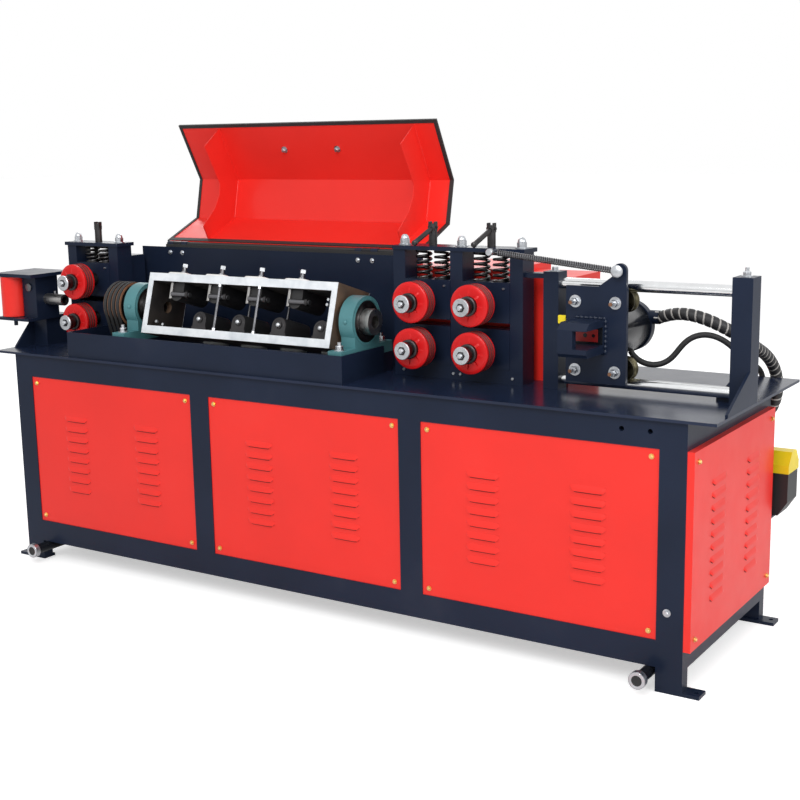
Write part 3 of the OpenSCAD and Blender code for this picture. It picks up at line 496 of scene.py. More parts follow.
# CAD nodes that keep their shape and get their finish
KEEP = {
    NAVY: "frame_posts frame_rails cross_rails foot_plates trough_front trough_sides rear_guard guard_hinges "
          "bearing_pads motor_shelf drive_motor stand_posts stand_plates roller_blocks inlet_cover "
          "entry_bracket cutter_columns column_gussets toolbox_shelf carriage",
    RED: "front_panels rear_panels end_panels drive_cover hood_shell hood_ribs "
         "entry_roller_front entry_roller_rear",
    STEEL: "inlet_tube drum_shafts motor_pulley hose_fittings",
    TABLE: "table_plate",
    BLACK_GLOSS: "wheel_pipes hood_fittings",
    CHROME: "guide_rods",
    TEAL: "bearing_blocks",
    DIE_SOOT: "drum_dies",
    DARK_IRON: "inlet_screw feed_screw_a feed_screw_b",
    WHEEL: "carriage_wheels",
    DRUM: "drum_walls drum_ends",
    RUBBER: "drive_belts hood_trim",
    PLASTIC_BLACK: "toolbox_body",
    PLASTIC_YELLOW: "toolbox_lid",
}
for mat, names in KEEP.items():
    for node_name in names.split():
        node_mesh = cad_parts[node_name].data
        if len(node_mesh.materials):
            node_mesh.materials[0] = mat
        else:
            node_mesh.materials.append(mat)


# Panels: pressed louvres and plated bolts

# height of the painted shadow strip under each louvre lip
LOUVRE_SHADOW_DROP = 0.0036


def louvre(form, at, along, out, length=0.107, rise=0.006, height=0.018):
    """Pressed louvre: a lens in length, swelling from the sheet at its top edge to an open
    lip at its lower edge, closed by a dark face that is painted shade, with a painted shadow strip under it."""
    u = np.linspace(-1, 1, 17)[:, None]
    v = np.linspace(0, 1, 7)[None, :]
    lens = np.sqrt(np.clip(1 - np.abs(u) ** 8, 0, 1))
    depth = rise * lens * np.sin(v * np.pi / 2)
    drop = -height * v * (0.55 + 0.45 * lens)
    along, out = np.asarray(along, float), np.asarray(out, float)
    p = (np.asarray(at, float) + (u * length / 2)[..., None] * along * np.ones_like(v)[..., None]
         + depth[..., None] * out + drop[..., None] * np.array([0, 0, 1.0]))
    form.grid(p)
    lip = p[:, -1]
    back = lip - depth[:, -1][:, None] * out + 0.0002 * out
    # dark face across the lip's opening: painted shade for the hollow under the louvre
    form.grid(np.stack([lip, back], 1), material=1, smooth=False)
    # painted shadow: a thin dark strip on the sheet just below the lip
    slot = back[2:-2] + 0.0002 * out
    below = slot - LOUVRE_SHADOW_DROP * np.array([0, 0, 1.0])
    form.grid(np.stack([slot, below], 1), material=1, smooth=False)


def louvre_columns(form, centre, along, out, spacing, count, pitch=0.036):
    """Two columns of louvres about a panel's middle."""
    for side in (-1, 1):
        for k in range(count):
            place = np.asarray(centre, float) + side * spacing * np.asarray(along, float)
            place[2] += (count - 1) / 2 * pitch - k * pitch + 0.010
            louvre(form, place, along, out)


PANEL_MID_Z = (PANEL_LOW + PANEL_HIGH) / 2
PANEL_Y, PANEL_INSET = 0.337, 0.022
END_LOW, END_HIGH, END_INSET = (-0.339, 0.125), (0.323, 0.667), 0.03
END_VENTS = (-0.008, 0.395)
PANEL_BOLT = {"across": 0.011, "head": 0.005, "washer": 0.0075}
COVER_BOLT = {"across": 0.011, "head": 0.006, "washer": 0.008}
for way, label, out in ((-1, "front", (0, -1, 0)), (1, "rear", (0, 1, 0))):
    vents = Form()
    screws = Form()
    for lo, hi in BAYS:
        mid = (lo + hi) / 2
        louvre_columns(vents, (mid, way * PANEL_Y, PANEL_MID_Z), (1, 0, 0), out, spacing=0.162, count=8)
        for x in (lo + PANEL_INSET, hi - PANEL_INSET):
            for z in (PANEL_LOW + PANEL_INSET, PANEL_HIGH - PANEL_INSET):
                screws.bolt((x, way * PANEL_Y, z), out, **PANEL_BOLT)
    vents.piece(label + "_louvres", ROOT, [RED, LOUVRE_SHADE_RED], slot="red_paint")
    screws.piece(label + "_panel_bolts", ROOT, [YELLOW_ZINC], slot="bare_steel")

for way, label, face in ((-1, "left", -1.2425), (1, "right", 1.260)):
    vents = Form()
    screws = Form()
    louvre_columns(vents, (face, *END_VENTS), (0, 1, 0), (way, 0, 0), spacing=0.142, count=10)
    for y in (END_LOW[0] + END_INSET, END_HIGH[0] - END_INSET):
        for z in (END_LOW[1] + END_INSET, END_HIGH[1] - END_INSET):
            screws.bolt((face, y, z), (way, 0, 0), **PANEL_BOLT)
    vents.piece(label + "_end_louvres", ROOT, [RED, LOUVRE_SHADE_RED], slot="red_paint")
    screws.piece(label + "_end_bolts", ROOT, [YELLOW_ZINC], slot="bare_steel")


# Drive cover and inlet cover: base flange, vents and bolts on the sides the photograph hides
COVER_MAIN_RIGHT = 0.545
FLANGE_WIDTH = 0.018
cover_low, cover_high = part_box("drive_cover")
flange = Form()
flange_bolts = Form()
flange_top = TABLE_Z + 0.003
flange.block((cover_low[0] - FLANGE_WIDTH, cover_high[1] - 0.0004, TABLE_Z),
             (COVER_MAIN_RIGHT, cover_high[1] + FLANGE_WIDTH, flange_top), 0.0005)
flange.block((cover_low[0] - FLANGE_WIDTH, 0.080, TABLE_Z),
             (cover_low[0] + 0.0004, cover_high[1] + 0.001, flange_top), 0.0005)
for x in np.linspace(cover_low[0] + 0.02, COVER_MAIN_RIGHT - 0.02, 4):
    flange_bolts.bolt((x, cover_high[1] + FLANGE_WIDTH / 2, flange_top), (0, 0, 1), **COVER_BOLT)
for y in np.linspace(0.11, cover_high[1] - 0.03, 2):
    flange_bolts.bolt((cover_low[0] - FLANGE_WIDTH / 2, y, flange_top), (0, 0, 1), **COVER_BOLT)
vent_place = ((cover_low[0] + COVER_MAIN_RIGHT) / 2, cover_high[1], 0.920)
louvre_columns(flange, vent_place, (1, 0, 0), (0, 1, 0), spacing=0.080, count=5)
flange.piece("cover_flange", ROOT, [RED, LOUVRE_SHADE_RED], slot="red_paint")
inlet_low, inlet_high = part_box("inlet_cover")
for x in (inlet_low[0] + 0.022, inlet_high[0] - 0.022):
    for z in (inlet_low[2] + 0.025, inlet_high[2] - 0.025):
        flange_bolts.bolt((x, inlet_high[1], z), (0, 1, 0), **COVER_BOLT)
flange_bolts.piece("cover_bolts", ROOT, [ZINC], slot="bare_steel")


# Rollers with their dark noses, washers and nuts
ROLLER_RADIUS, ROLLER_WIDTH, GROOVE_DEPTH = 0.061, 0.050, 0.006
SHAFT_RADIUS, SHAFT_END = 0.025, 0.129


def feed_roller(name, x, z, body):
    """Grooved roller turned about Y: red tyre with painted shade in its grooves, dark stepped nose, zinc
    washer and nut, dark shaft behind.
    """
    r = ROLLER_RADIUS
    deep = r - GROOVE_DEPTH
    at, axis = (x, BAR_Y - ROLLER_WIDTH / 2, z), (0, 1, 0)
    form = Form()
    groove = [(deep, 0.014), (deep, 0.016), (r, 0.0195), (r, 0.0215), (deep, 0.0245), (deep, 0.0265),
              (r, 0.0300), (r, 0.0320), (deep, 0.035), (deep, 0.037), (r, 0.0405)]
    tyre = [(0.029, 0.0), (0.050, 0.0), (r - 0.003, 0.0006), (r, 0.003), (r, 0.0105)] + groove + [
        (r, 0.047), (r - 0.003, ROLLER_WIDTH), (SHAFT_RADIUS, ROLLER_WIDTH)]
    # faces in the grooves take the darker red: painted shade
    groove_shade_faces = [3 if min(a[0], b[0]) < r - 0.004 and 0.012 < a[1] < 0.039 else 0
              for a, b in zip(tyre, tyre[1:])]
    form.lathe(tyre, at, axis, 56, 0, groove_shade_faces)
    form.lathe([(SHAFT_RADIUS, ROLLER_WIDTH), (SHAFT_RADIUS, SHAFT_END)], at, axis, 40, 1)
    form.lathe([(SHAFT_RADIUS, SHAFT_END), (0, SHAFT_END)], at, axis, 40, 1)
    nose = [(0.029, 0.0), (0.029, -0.010), (0.026, -0.012), (0.022, -0.012), (0.022, -0.024),
            (0.0245, -0.026), (0.0245, -0.039), (0.023, -0.040), (0.016, -0.040)]
    washer = [(0.0, -0.040), (0.0245, -0.040), (0.0265, -0.041),
              (0.0265, -0.0445), (0.025, -0.046), (0, -0.046)]
    stud = [(0.0085, -0.046), (0.0085, -0.052), (0.0065, -0.055), (0, -0.057)]
    form.lathe(nose, at, axis, 40, 1)
    form.lathe(washer, at, axis, 40, 2)
    form.lathe([(0.0135, -0.0459), (0.0135, -0.0475), (0.0085, -0.0475)], at, axis, 6, 1)
    form.lathe(stud, at, axis, 24, 2)
    form.piece(name + "_tyre", body, [ROLLER_RED, DARK_IRON, ZINC, GROOVE_SHADE_RED], [name], "red_paint")


for pair, mark, x in (("inlet_roller", "", INLET_X), ("feed_roller", "_a", FEED_XS[0]),
                      ("feed_roller", "_b", FEED_XS[1])):
    for level, z in (("_upper", UPPER_Z), ("_lower", LOWER_Z)):
        feed_roller(pair + level + mark, x, z, pair + level + mark + "_body")


# Open pressure springs in the stand windows
COIL_RADIUS, COIL_WIRE, COIL_SIDE, COIL_GAP = 0.0215, 0.0042, 0.032, 0.004
SEAT_RADIUS, SEAT_THICK = 0.026, 0.0035
springs = Form()
for x, top, turns in ((FEED_XS[0], 1.135, 5.0), (FEED_XS[1], 1.135, 5.0), (INLET_X, 1.107, 4.0)):
    for s in (-COIL_SIDE, COIL_SIDE):
        mid = (x + s, STAND_MID_Y)
        coil(springs, (*mid, COIL_LOW + COIL_GAP), (*mid, top - COIL_GAP), COIL_RADIUS, COIL_WIRE,
             turns, 24, 10)
        for low in (COIL_LOW, top - SEAT_THICK):
            high = low + SEAT_THICK
            springs.lathe([(0, low), (SEAT_RADIUS, low), (SEAT_RADIUS, high), (0, high)],
                          (*mid, 0), (0, 0, 1), 28)
springs.piece("pressure_coils", ROOT, [DARK_IRON], ["pressure_springs"], "dark_iron")


# Rubber strip along the top of the rear guard
guard_strip = Form()
guard_strip.block((HOOD_LEFT, 0.0602, 1.0968), (HOOD_RIGHT, 0.0638, 1.1065), 0.0006)
guard_strip.piece("guard_top_strip", ROOT, [RUBBER], slot="black_rubber")


# Dome nuts and screws on the stands, and the other plated fasteners
NUT_WASHER = 0.003
nuts = Form()
turn = np.linspace(0, np.pi / 2, 7)
dome = [(0.0145, 0.0), (0.0145, 0.013)] + [(0.0125 * math.cos(a), 0.015 + 0.014 * math.sin(a)) for a in turn]
NUT_PLACES = [(x, FEED_TOP) for x in (0.227, 0.427, 0.627)] + [(x, INLET_TOP) for x in (-1.166, -0.966)]
for x, top in NUT_PLACES:
    at, axis = (x, STAND_MID_Y, top), (0, 0, 1)
    nuts.lathe([(0, 0), (0.019, 0), (0.019, NUT_WASHER), (0.0145, NUT_WASHER)], at, axis, 28)
    nuts.lathe([(r, h + NUT_WASHER) for r, h in dome[:2]] + [(0.0125, 0.018)], at, axis, 6)
    nuts.lathe([(r, h + NUT_WASHER) for r, h in dome[2:]], at, axis, 24)
for x in FEED_XS + (INLET_X,):
    nuts.bolt((x + 0.060, -0.112, UPPER_Z + 0.042), (0, -1, 0), 0.007, 0.006)
    for s in (-0.088, 0.088):
        nuts.bolt((x + s, -0.1102, 0.768), (0, -1, 0), 0.010, 0.004)
nuts.bolt((1.292, -0.072, 1.092), (0, 0, 1), 0.022, 0.012, 0.016, 0.010)
nuts.bolt((0.735, -0.0775, 1.086), (0, 0, 1), 0.018, 0.010, 0.014)
for x in (-0.850, -0.794, -0.041, 0.015):
    nuts.bolt((x, 0.060, 1.078), (0, -1, 0), **COVER_BOLT)
for x in BEARING_XS:
    for s in (-0.112, 0.112):
        nuts.bolt((x, BAR_Y + s, 0.845), (0, 0, 1), 0.024, 0.013, 0.017, 0.010)
nuts.lathe([(0, 0), (0.0098, 0), (0.0105, 0.001), (0.0105, 0.010), (0.0090, 0.012), (0, 0.012)],
           SPRING_PIN + np.array([0, -0.0065, 0]), (0, -1, 0), 28)
nuts.bolt((1.194, -0.340, 0.226), (0, -1, 0), 0.014, 0.007, 0.011)
nuts.piece("zinc_fasteners", ROOT, [ZINC], slot="bare_steel")


# Fork, pin and grip of each pressure screw
for label, x, top in (("inlet_screw", INLET_X, INLET_TOP), ("feed_screw_a", FEED_XS[0], FEED_TOP),
                      ("feed_screw_b", FEED_XS[1], FEED_TOP)):
    form = Form()
    z = top + SCREW_RISE
    for s in (-1, 1):
        form.block((x + s * 0.0095 - 0.0028, STAND_MID_Y - 0.008, z - 0.022),
                   (x + s * 0.0095 + 0.0028, STAND_MID_Y + 0.008, z + 0.006), 0.001)
    form.lathe([(0, -0.016), (0.004, -0.016), (0.004, 0.016), (0, 0.016)],
               (x, STAND_MID_Y, z - 0.011), (1, 0, 0), 16)
    if label != "inlet_screw":
        reach = np.array([0, -math.cos(LEVER_DROP), -math.sin(LEVER_DROP)])
        tip = np.array([x, STAND_MID_Y, z - 0.012]) + LEVER_LENGTH * reach
        form.lathe([(0.0075, -0.006), (0.0088, -0.004), (0.0088, 0.002), (0.006, 0.005), (0, 0.006)],
                   tip, reach, 20)
    form.piece(label + "_fork", label + "_body", [DARK_IRON], slot="bare_steel")


# Drum: die plates with their pins, studs across the opening, then adjusting bolts on their pads
DIE_FOOT, DIE_CROWN, DIE_ARCH = 0.0300, 0.0262, 0.0200
DIE_LOW, DIE_STEP, DIE_MID = -0.0752, -0.0640, -0.0420
DIE_BACK, DIE_FACE = 0.0648, 0.0682
STUD_SIDE, STUD_HALF = 0.082, 0.076
drum_bits = Form()
rim = np.linspace(0, np.pi, 21)
for k in range(4):
    xu = DIE_FIRST + k * DIE_PITCH
    xl = xu + DIE_SHIFT
    for side in (-1, 1):
        face = side * DIE_FACE
        plate = np.vstack([[[xl - DIE_FOOT, DIE_LOW], [xl + DIE_FOOT, DIE_LOW], [xl + DIE_FOOT, DIE_STEP],
                            [xl + DIE_CROWN, DIE_STEP]],
                           np.stack([xl + DIE_CROWN * np.cos(rim), DIE_MID + DIE_CROWN * np.sin(rim)], 1),
                           [[xl - DIE_CROWN, DIE_STEP], [xl - DIE_FOOT, DIE_STEP]]])
        drum_bits.prism(plate, "y", *sorted((side * DIE_BACK, face)), 0.0006, 0, on_drum)
        arch = np.stack([xl + DIE_ARCH * np.cos(rim), np.full(len(rim), face),
                         DIE_MID + DIE_ARCH * np.sin(rim)], 1)
        drum_bits.tube(on_drum(arch), 0.0013, 8, 0)
        at = on_drum([[xl, face, -0.040]])[0]
        drum_bits.lathe([(0.012, 0), (0.012, 0.003), (0.008, 0.004)], at, drum_way((0, side, 0)), 20, 0)
        half = np.linspace(0, np.pi / 2, 6)
        drum_bits.lathe([(0.008 * math.cos(a), 0.004 + 0.006 * math.sin(a)) for a in half], at,
                        drum_way((0, side, 0)), 16, 1)
        low, high = sorted((side * 0.0650, side * 0.0730))
        drum_bits.block((xu - 0.0245, low, 0.020), (xu - 0.0155, high, 0.0745), 0.001, 2, on_drum)
    drum_bits.lathe([(0, -0.016), (0.0080, -0.016), (0.0080, 0.062), (0, 0.062)],
                    on_drum([[xu, -0.0700, 0.036]])[0], (1, 0, 0), 20, 3)
    drum_bits.lathe([(0.0080, 0), (0.0125, 0), (0.0125, 0.010), (0.0080, 0.010)],
                    on_drum([[xu + 0.048, -0.0700, 0.036]])[0], (1, 0, 0), 20, 0)
for x in (-0.366, -0.205):
    for side in (-1, 1):
        lo, hi = on_drum([[x, side * STUD_SIDE, -STUD_HALF], [x, side * STUD_SIDE, STUD_HALF]])
        drum_bits.tube([lo, hi], 0.0042, 10, 3)
        for s in (-1, 1):
            drum_bits.lathe([(0, 0), (0.0065, 0), (0.0065, 0.009), (0, 0.009)],
                            on_drum([[x, side * STUD_SIDE, s * STUD_HALF]])[0], drum_way((0, 0, -s)), 6, 1)
for x, z in ((-0.628, -0.058), (-0.598, -0.066), (0.052, 0.050), (0.050, 0.034)):
    drum_bits.bolt(on_drum([[x, -0.060, z]])[0], drum_way((0, -1, 0)), 0.012, 0.008, material=1)
drum_bits.piece("drum_inner_fittings", "drum", [DARK_IRON, ZINC, STEEL, STUD], slot="dark_iron")

pads = Form()
for k in range(4):
    for s in (1, -1):
        x = DIE_FIRST + k * DIE_PITCH + (0 if s > 0 else DIE_SHIFT)
        a = np.linspace(0, 2 * np.pi, 24, endpoint=False)
        u, v = np.cos(a), np.sin(a)
        pad = np.stack([x - 0.0126 + 0.044 * np.sign(u) * np.abs(u) ** 0.5,
                        -s * BOLT_Y + 0.024 * np.sign(v) * np.abs(v) ** 0.5], 1)
        inner = 0.92 * (pad - pad.mean(0)) + pad.mean(0)
        rings = np.stack([np.column_stack([ring, np.full(24, s * height)])
                          for ring, height in ((pad, 0.101), (pad, 0.106), (inner, 0.109))])
        placed = on_drum(rings.reshape(-1, 3)).reshape(rings.shape)
        index = pads.grid(placed, close_v=True, material=1, smooth=False)
        pads.lid(index[-1] if s > 0 else index[-1][::-1], 1)
        foot = on_drum([[x, -s * BOLT_Y, s * 0.109]])[0]
        up = drum_way((0, 0, s))
        pads.lathe([(0.0, 0), (0.011, 0), (0.011, 0.006), (0.0075, 0.007)], foot, up, 6, 2)
        pads.lathe([(0.0068, 0.006), (0.0068, 0.020)], foot, up, 18, 2)
        pads.lathe([(0.0068, 0.020), (0.0105, 0.020), (0.0105, 0.030), (0.0090, 0.032), (0, 0.032)],
                   foot, up, 4, 0)
pads.piece("adjusting_bolts", "drum", [ZINC, PALE, STUD], ["drum_bolts"], "bare_steel")


# Pulley with belt grooves, and bearing seals
PULLEY_BORE, PULLEY_RADIUS, PULLEY_HALF, BELT_PITCH = 0.040, 0.075, 0.038, 0.019
pulley = Form()
groove_profile = [(PULLEY_BORE, -PULLEY_HALF), (PULLEY_RADIUS, -PULLEY_HALF)]
for k in range(4):
    mid = -0.0285 + BELT_PITCH * k
    groove_profile += [(PULLEY_RADIUS, mid - 0.0075), (0.066, mid - 0.004),
                       (0.066, mid + 0.004), (PULLEY_RADIUS, mid + 0.0075)]
groove_profile += [(PULLEY_RADIUS, PULLEY_HALF), (PULLEY_BORE, PULLEY_HALF)]
pulley.lathe(groove_profile, PULLEY, (1, 0, 0), 56, 0)
for side in (-1, 1):
    pulley.lathe([(0.070, side * 0.0382), (0.0755, side * 0.0384), (0.0755, side * 0.036)],
                 PULLEY, (1, 0, 0), 56, 1)
for k in range(5):
    mid = min(max(-PULLEY_HALF + BELT_PITCH * k, -0.0365), 0.0365)
    pulley.lathe([(0.0745, mid - 0.0017), (0.0768, mid - 0.0012),
                  (0.0768, mid + 0.0012), (0.0745, mid + 0.0017)], PULLEY, (1, 0, 0), 56, 1)
pulley.piece("belt_pulley", "drum", [DARK_IRON, RUST], ["drum_pulley"], "bare_steel")

seals = Form()
for face, way in ((0.158, 1), (0.108, -1), (-0.724, 1), (-0.774, -1)):
    at = (face, BAR_Y, BAR_Z)
    seals.lathe([(0.0405, 0.0006), (0.050, 0.0006), (0.052, 0.0014), (0.060, 0.0014),
                 (0.064, 0.0004), (0.064, 0)], at, (way, 0, 0), 48, 0)
    seals.lathe([(0.066, 0), (0.066, 0.0016), (0.071, 0.0016), (0.071, 0)], at, (way, 0, 0), 48, 1)
for x in BEARING_XS:
    at = np.array([x, BAR_Y - 0.0779, BAR_Z + 0.006])
    seals.lathe([(0.006, 0), (0.006, 0.003), (0.003, 0.006), (0, 0.007)], at, (0, -1, 0.1), 16, 1)
seals.piece("bearing_seals", ROOT, [DARK_IRON, TEAL], slot="teal_casting")


# Cutter: plate fasteners, weld bead, red plate in the jaw, buffer pad, cylinder skin
cutter = Form()
for x in WHEEL_XS:
    for z in WHEEL_ZS:
        cutter.bolt((x, CARRIAGE_Y, z), (0, -1, 0), 0.022, 0.013, 0.0175, 0.019, 0)
        cutter.lathe([(0.0055, 0), (0.0055, 0.0006), (0, 0.0006)],
                     (x, CARRIAGE_Y - 0.0342, z), (0, -1, 0), 12, 5)
cutter.lathe([(0, 0), (0.0155, 0), (0.017, 0.002), (0.017, 0.007), (0.013, 0.010), (0, 0.011)],
             (LUG_X, SPRING_Y - 0.0062, LUG_Z), (0, -1, 0), 28, 0)
edge_run = np.linspace(0, 1, 240)
loop = np.array([[0.833, 0.870], [0.833, 0.968], [0.923, 0.968], [0.923, 0.870], [0.833, 0.870]])
step = np.concatenate([[0], np.cumsum(np.linalg.norm(np.diff(loop, axis=0), axis=1))])
bead = np.stack([np.interp(edge_run * step[-1], step, loop[:, 0]), np.full(240, CARRIAGE_Y - 0.001),
                 np.interp(edge_run * step[-1], step, loop[:, 1])], 1)
weld = bead[:, None] + (0.0045 + 0.0014 * np.sin(edge_run * 170))[:, None, None] * circle_frames(bead, 8)
cutter.grid(weld, close_v=True, material=1)
cutter.block((0.8365, BAR_Y + 0.0312, BAR_Z - 0.0236), (0.9195, BAR_Y + 0.0322, BAR_Z + 0.0256), 0.0003, 4)
cutter.block((0.8365, BAR_Y + 0.0304, BAR_Z - 0.0175), (0.9060, BAR_Y + 0.0313, BAR_Z + 0.0185), 0.0003, 6)
for x, r in ((0.868, 0.0060), (0.893, 0.0050)):
    cutter.lathe([(r, 0), (r, 0.0004), (0, 0.0004)], (x, BAR_Y + 0.0304, BAR_Z), (0, -1, 0), 20, 4)
cutter.block((0.7790, -0.1500, 0.9460), (0.8018, -0.1380, 0.9700), 0.0015, 2)
for k in range(6):
    a = math.radians(60 * k + 20)
    cutter.bolt((RAM_X + 0.064 * math.cos(a), 0.103, RAM_Z + 0.064 * math.sin(a)), (0, 1, 0), 0.014, 0.008)
cutter.lathe([(0.0722, 0.0), (0.0735, 0.001), (0.0735, 0.011), (0.0722, 0.012)],
             (RAM_X, -0.120, RAM_Z), (0, 1, 0), 56, 1)
cutter.lathe([(0.0724, 0.0), (0.0724, 0.2204), (0.0710, 0.2228), (0.0, 0.2228)],
             (RAM_X, -0.1195, RAM_Z), (0, 1, 0), 56, 4)
cutter.lathe([(0.020, -0.012), (0.0215, -0.012), (0.0215, 0), (0.0, 0)], PORT, (1, 0, 0), 6, 3)
cutter.piece("cutter_fittings", "cutter_carriage",
             [ZINC, NAVY, PLASTIC_YELLOW, STEEL, BLACK_GLOSS, RUST, BLADE_RED], slot="bare_steel")


# Return spring: a close coil with a hook at each end
spring = Form()
gap = (SPRING_LUG - SPRING_PIN) / np.linalg.norm(SPRING_LUG - SPRING_PIN)
coil(spring, SPRING_PIN + 0.020 * gap, SPRING_LUG - 0.020 * gap, 0.0076, 0.0022, 52, 14, 6)
for end, way in ((SPRING_PIN, 1), (SPRING_LUG, -1)):
    a = np.linspace(0.35 * np.pi, 1.9 * np.pi, 22)
    hook = end + way * 0.0085 * (np.cos(a)[:, None] * gap
                                 + np.sin(a)[:, None] * np.cross(gap, [0, 1, 0]))
    spring.tube(hook, 0.0018, 8)
    spring.tube([end + way * 0.007 * gap, end + way * 0.021 * gap], 0.0018, 8)
spring.piece("return_coil", "cutter_carriage", [STUD], ["return_spring"], "dark_iron",
             (SPRING_PIN, SPRING_LUG))


# Hood: grab handle bolts, lower edge strip, hinge leaf and rod, seams of the end ribs
HOOD = np.array([[0, 0], [0.177, 0.078], [0.207, 0.219], [0.103, 0.414]])
SEAM_LIFT, SEAM_RADIUS = 0.0034, 0.0022


def on_hood(segment, distance, lift):
    """A point of the hood's section in the row frame, a distance along one flat and lifted to its
    inner side, with the flat's direction and normal."""
    a, b = HOOD[segment], HOOD[segment + 1]
    way = (b - a) / np.linalg.norm(b - a)
    normal = np.array([-way[1], way[0]])
    p = a + distance * way + lift * normal
    return np.array([HINGE_Y + p[0], HINGE_Z + p[1]]), way, normal


hood = Form()
for x in (-0.448, -0.225):
    p, way, normal = on_hood(2, 0.120, 0.003)
    hood.bolt((x, p[0], p[1]), (0, normal[0], normal[1]), 0.016, 0.008, 0.012, 0.004, 0)
strip = np.array([on_hood(0, 0.016, lift)[0] for lift in (-0.001, 0.006)] +
                 [on_hood(0, 0.034, lift)[0] for lift in (0.006, -0.001)])
hood.prism(strip, "x", HOOD_LEFT, HOOD_RIGHT, 0.0004, 1)
leaf = np.array([on_hood(0, 0.004, lift)[0] for lift in (-0.0012, 0.0012)] +
                [on_hood(0, 0.020, lift)[0] for lift in (0.0012, -0.0012)])
hood.prism(leaf, "x", HOOD_LEFT, HOOD_RIGHT, 0.0003, 1)
for x in (-0.7085, 0.102, -0.7045, 0.106):
    for segment, lo, hi in ((0, 0.04, 0.186), (1, 0.008, 0.138), (2, 0.008, 0.200)):
        a, b = on_hood(segment, lo, SEAM_LIFT)[0], on_hood(segment, hi, SEAM_LIFT)[0]
        hood.tube([(x, a[0], a[1]), (x, b[0], b[1])], SEAM_RADIUS, 8, 2)
hood.tube([(HOOD_LEFT, HINGE_Y, HINGE_Z), (HOOD_RIGHT, HINGE_Y, HINGE_Z)], 0.0065, 16, 1)
hood.piece("hood_fastenings", "hood", [ZINC, RUBBER, RED], slot="red_paint")


# Hoses, with the wrapping on the thick one
WRAPPED_ROUTE = [
    (0.9850, 0.0970, 0.9450), (1.0030, 0.0970, 0.9510), (1.0235, 0.0951, 0.9562), (1.0469, 0.0930, 0.9592),
    (1.0732, 0.0924, 0.9584), (1.1016, 0.0945, 0.9532), (1.1309, 0.1008, 0.9434), (1.1591, 0.1128, 0.9293),
    (1.1841, 0.1314, 0.9121), (1.2036, 0.1569, 0.8936), (1.2165, 0.1883, 0.8756), (1.2233, 0.2239, 0.8591),
    (1.2270, 0.2614, 0.8435), (1.2304, 0.2982, 0.8267), (1.2352, 0.3312, 0.8056), (1.2403, 0.3577, 0.7786),
    (1.2439, 0.3763, 0.7466), (1.2435, 0.3874, 0.7120), (1.2375, 0.3929, 0.6778), (1.2253, 0.3947, 0.6461),
    (1.2072, 0.3946, 0.6185), (1.1841, 0.3937, 0.5957), (1.1570, 0.3927, 0.5784), (1.1270, 0.3920, 0.5670),
    (1.0950, 0.3920, 0.5620)]
PLAIN_ROUTE = [
    (0.9270, 0.0200, 0.8550), (0.9360, 0.0200, 0.8430), (0.9482, 0.0213, 0.8323), (0.9629, 0.0239, 0.8239),
    (0.9793, 0.0278, 0.8189), (0.9961, 0.0328, 0.8177), (1.0122, 0.0386, 0.8205), (1.0267, 0.0445, 0.8273),
    (1.0394, 0.0499, 0.8377), (1.0505, 0.0543, 0.8511), (1.0614, 0.0581, 0.8665), (1.0738, 0.0623, 0.8818),
    (1.0892, 0.0677, 0.8947), (1.1078, 0.0748, 0.9030), (1.1285, 0.0840, 0.9052), (1.1494, 0.0961, 0.9003),
    (1.1678, 0.1120, 0.8888), (1.1819, 0.1324, 0.8726), (1.1908, 0.1575, 0.8542), (1.1955, 0.1865, 0.8360),
    (1.1977, 0.2181, 0.8192), (1.1987, 0.2509, 0.8050), (1.1994, 0.2838, 0.7940), (1.1998, 0.3155, 0.7843),
    (1.2003, 0.3435, 0.7724), (1.2011, 0.3654, 0.7557), (1.2016, 0.3800, 0.7345), (1.2001, 0.3881, 0.7115),
    (1.1949, 0.3916, 0.6893), (1.1851, 0.3926, 0.6699), (1.1703, 0.3927, 0.6539), (1.1508, 0.3924, 0.6417),
    (1.1260, 0.3920, 0.6340), (1.0950, 0.3920, 0.6320)]
HOSE_BLEND = ((1.210, 0.350, 0.750), (1.000, 0.100, 0.940))
WRAP_STEPS, WRAP_SEG, WRAP_PITCH, WRAP_SHARP = 360, 28, 0.022, 40
WRAP_CORE, WRAP_RISE = 0.0158, 0.0022


def wrapped_hose():
    """Hose with a spiral strip: the radius steps up under the strip, whose phase runs along and round it."""
    line, length = rounded(WRAPPED_ROUTE, WRAP_STEPS)
    run = np.linspace(0, length, WRAP_STEPS)[:, None]
    turn = np.linspace(0, 2 * np.pi, WRAP_SEG, endpoint=False)[None]
    phase = np.mod(run / WRAP_PITCH - turn / (2 * np.pi), 1.0)
    strip = 1 / (1 + np.exp(-(0.40 - np.abs(phase - 0.5)) * WRAP_SHARP))
    radius = WRAP_CORE + WRAP_RISE * strip
    form = Form()
    form.pipe(line[:, None] + radius[..., None] * circle_frames(line, WRAP_SEG))
    obj = form.piece("wrapped_hose_skin", "cutter_carriage", [WRAP], ["wrapped_hose"], "black_rubber",
                     HOSE_BLEND)
    count = len(obj.data.vertices)
    band = obj.data.attributes.new("band", "FLOAT", "POINT")
    values = np.zeros(count, np.float32)
    values[:strip.size] = strip.reshape(-1)[:count]
    band.data.foreach_set("value", values)


def plain_hose():
    """Smooth hose: a circle carried along its route."""
    line, length = rounded(PLAIN_ROUTE, 160)
    form = Form()
    form.tube(line, 0.0085, 16)
    obj = form.piece("plain_hose_skin", "cutter_carriage", [RUBBER], ["plain_hose"], "black_rubber",
                     HOSE_BLEND)


wrapped_hose()
plain_hose()


# Toolbox latches and handle, pipe end rings, entry plug
box_trim = Form()
for x in (0.99, 1.20):
    box_trim.block((x - 0.018, 0.4565, 0.435), (x + 0.018, 0.4625, 0.478), 0.001)
for x in (1.02, 1.17):
    box_trim.block((x - 0.006, 0.3985, 0.516), (x + 0.006, 0.4205, 0.532), 0.001)
box_trim.block((1.014, 0.3995, 0.528), (1.176, 0.4195, 0.542), 0.003)
box_trim.piece("toolbox_trim", ROOT, [PLASTIC_BLACK], slot="black_plastic")

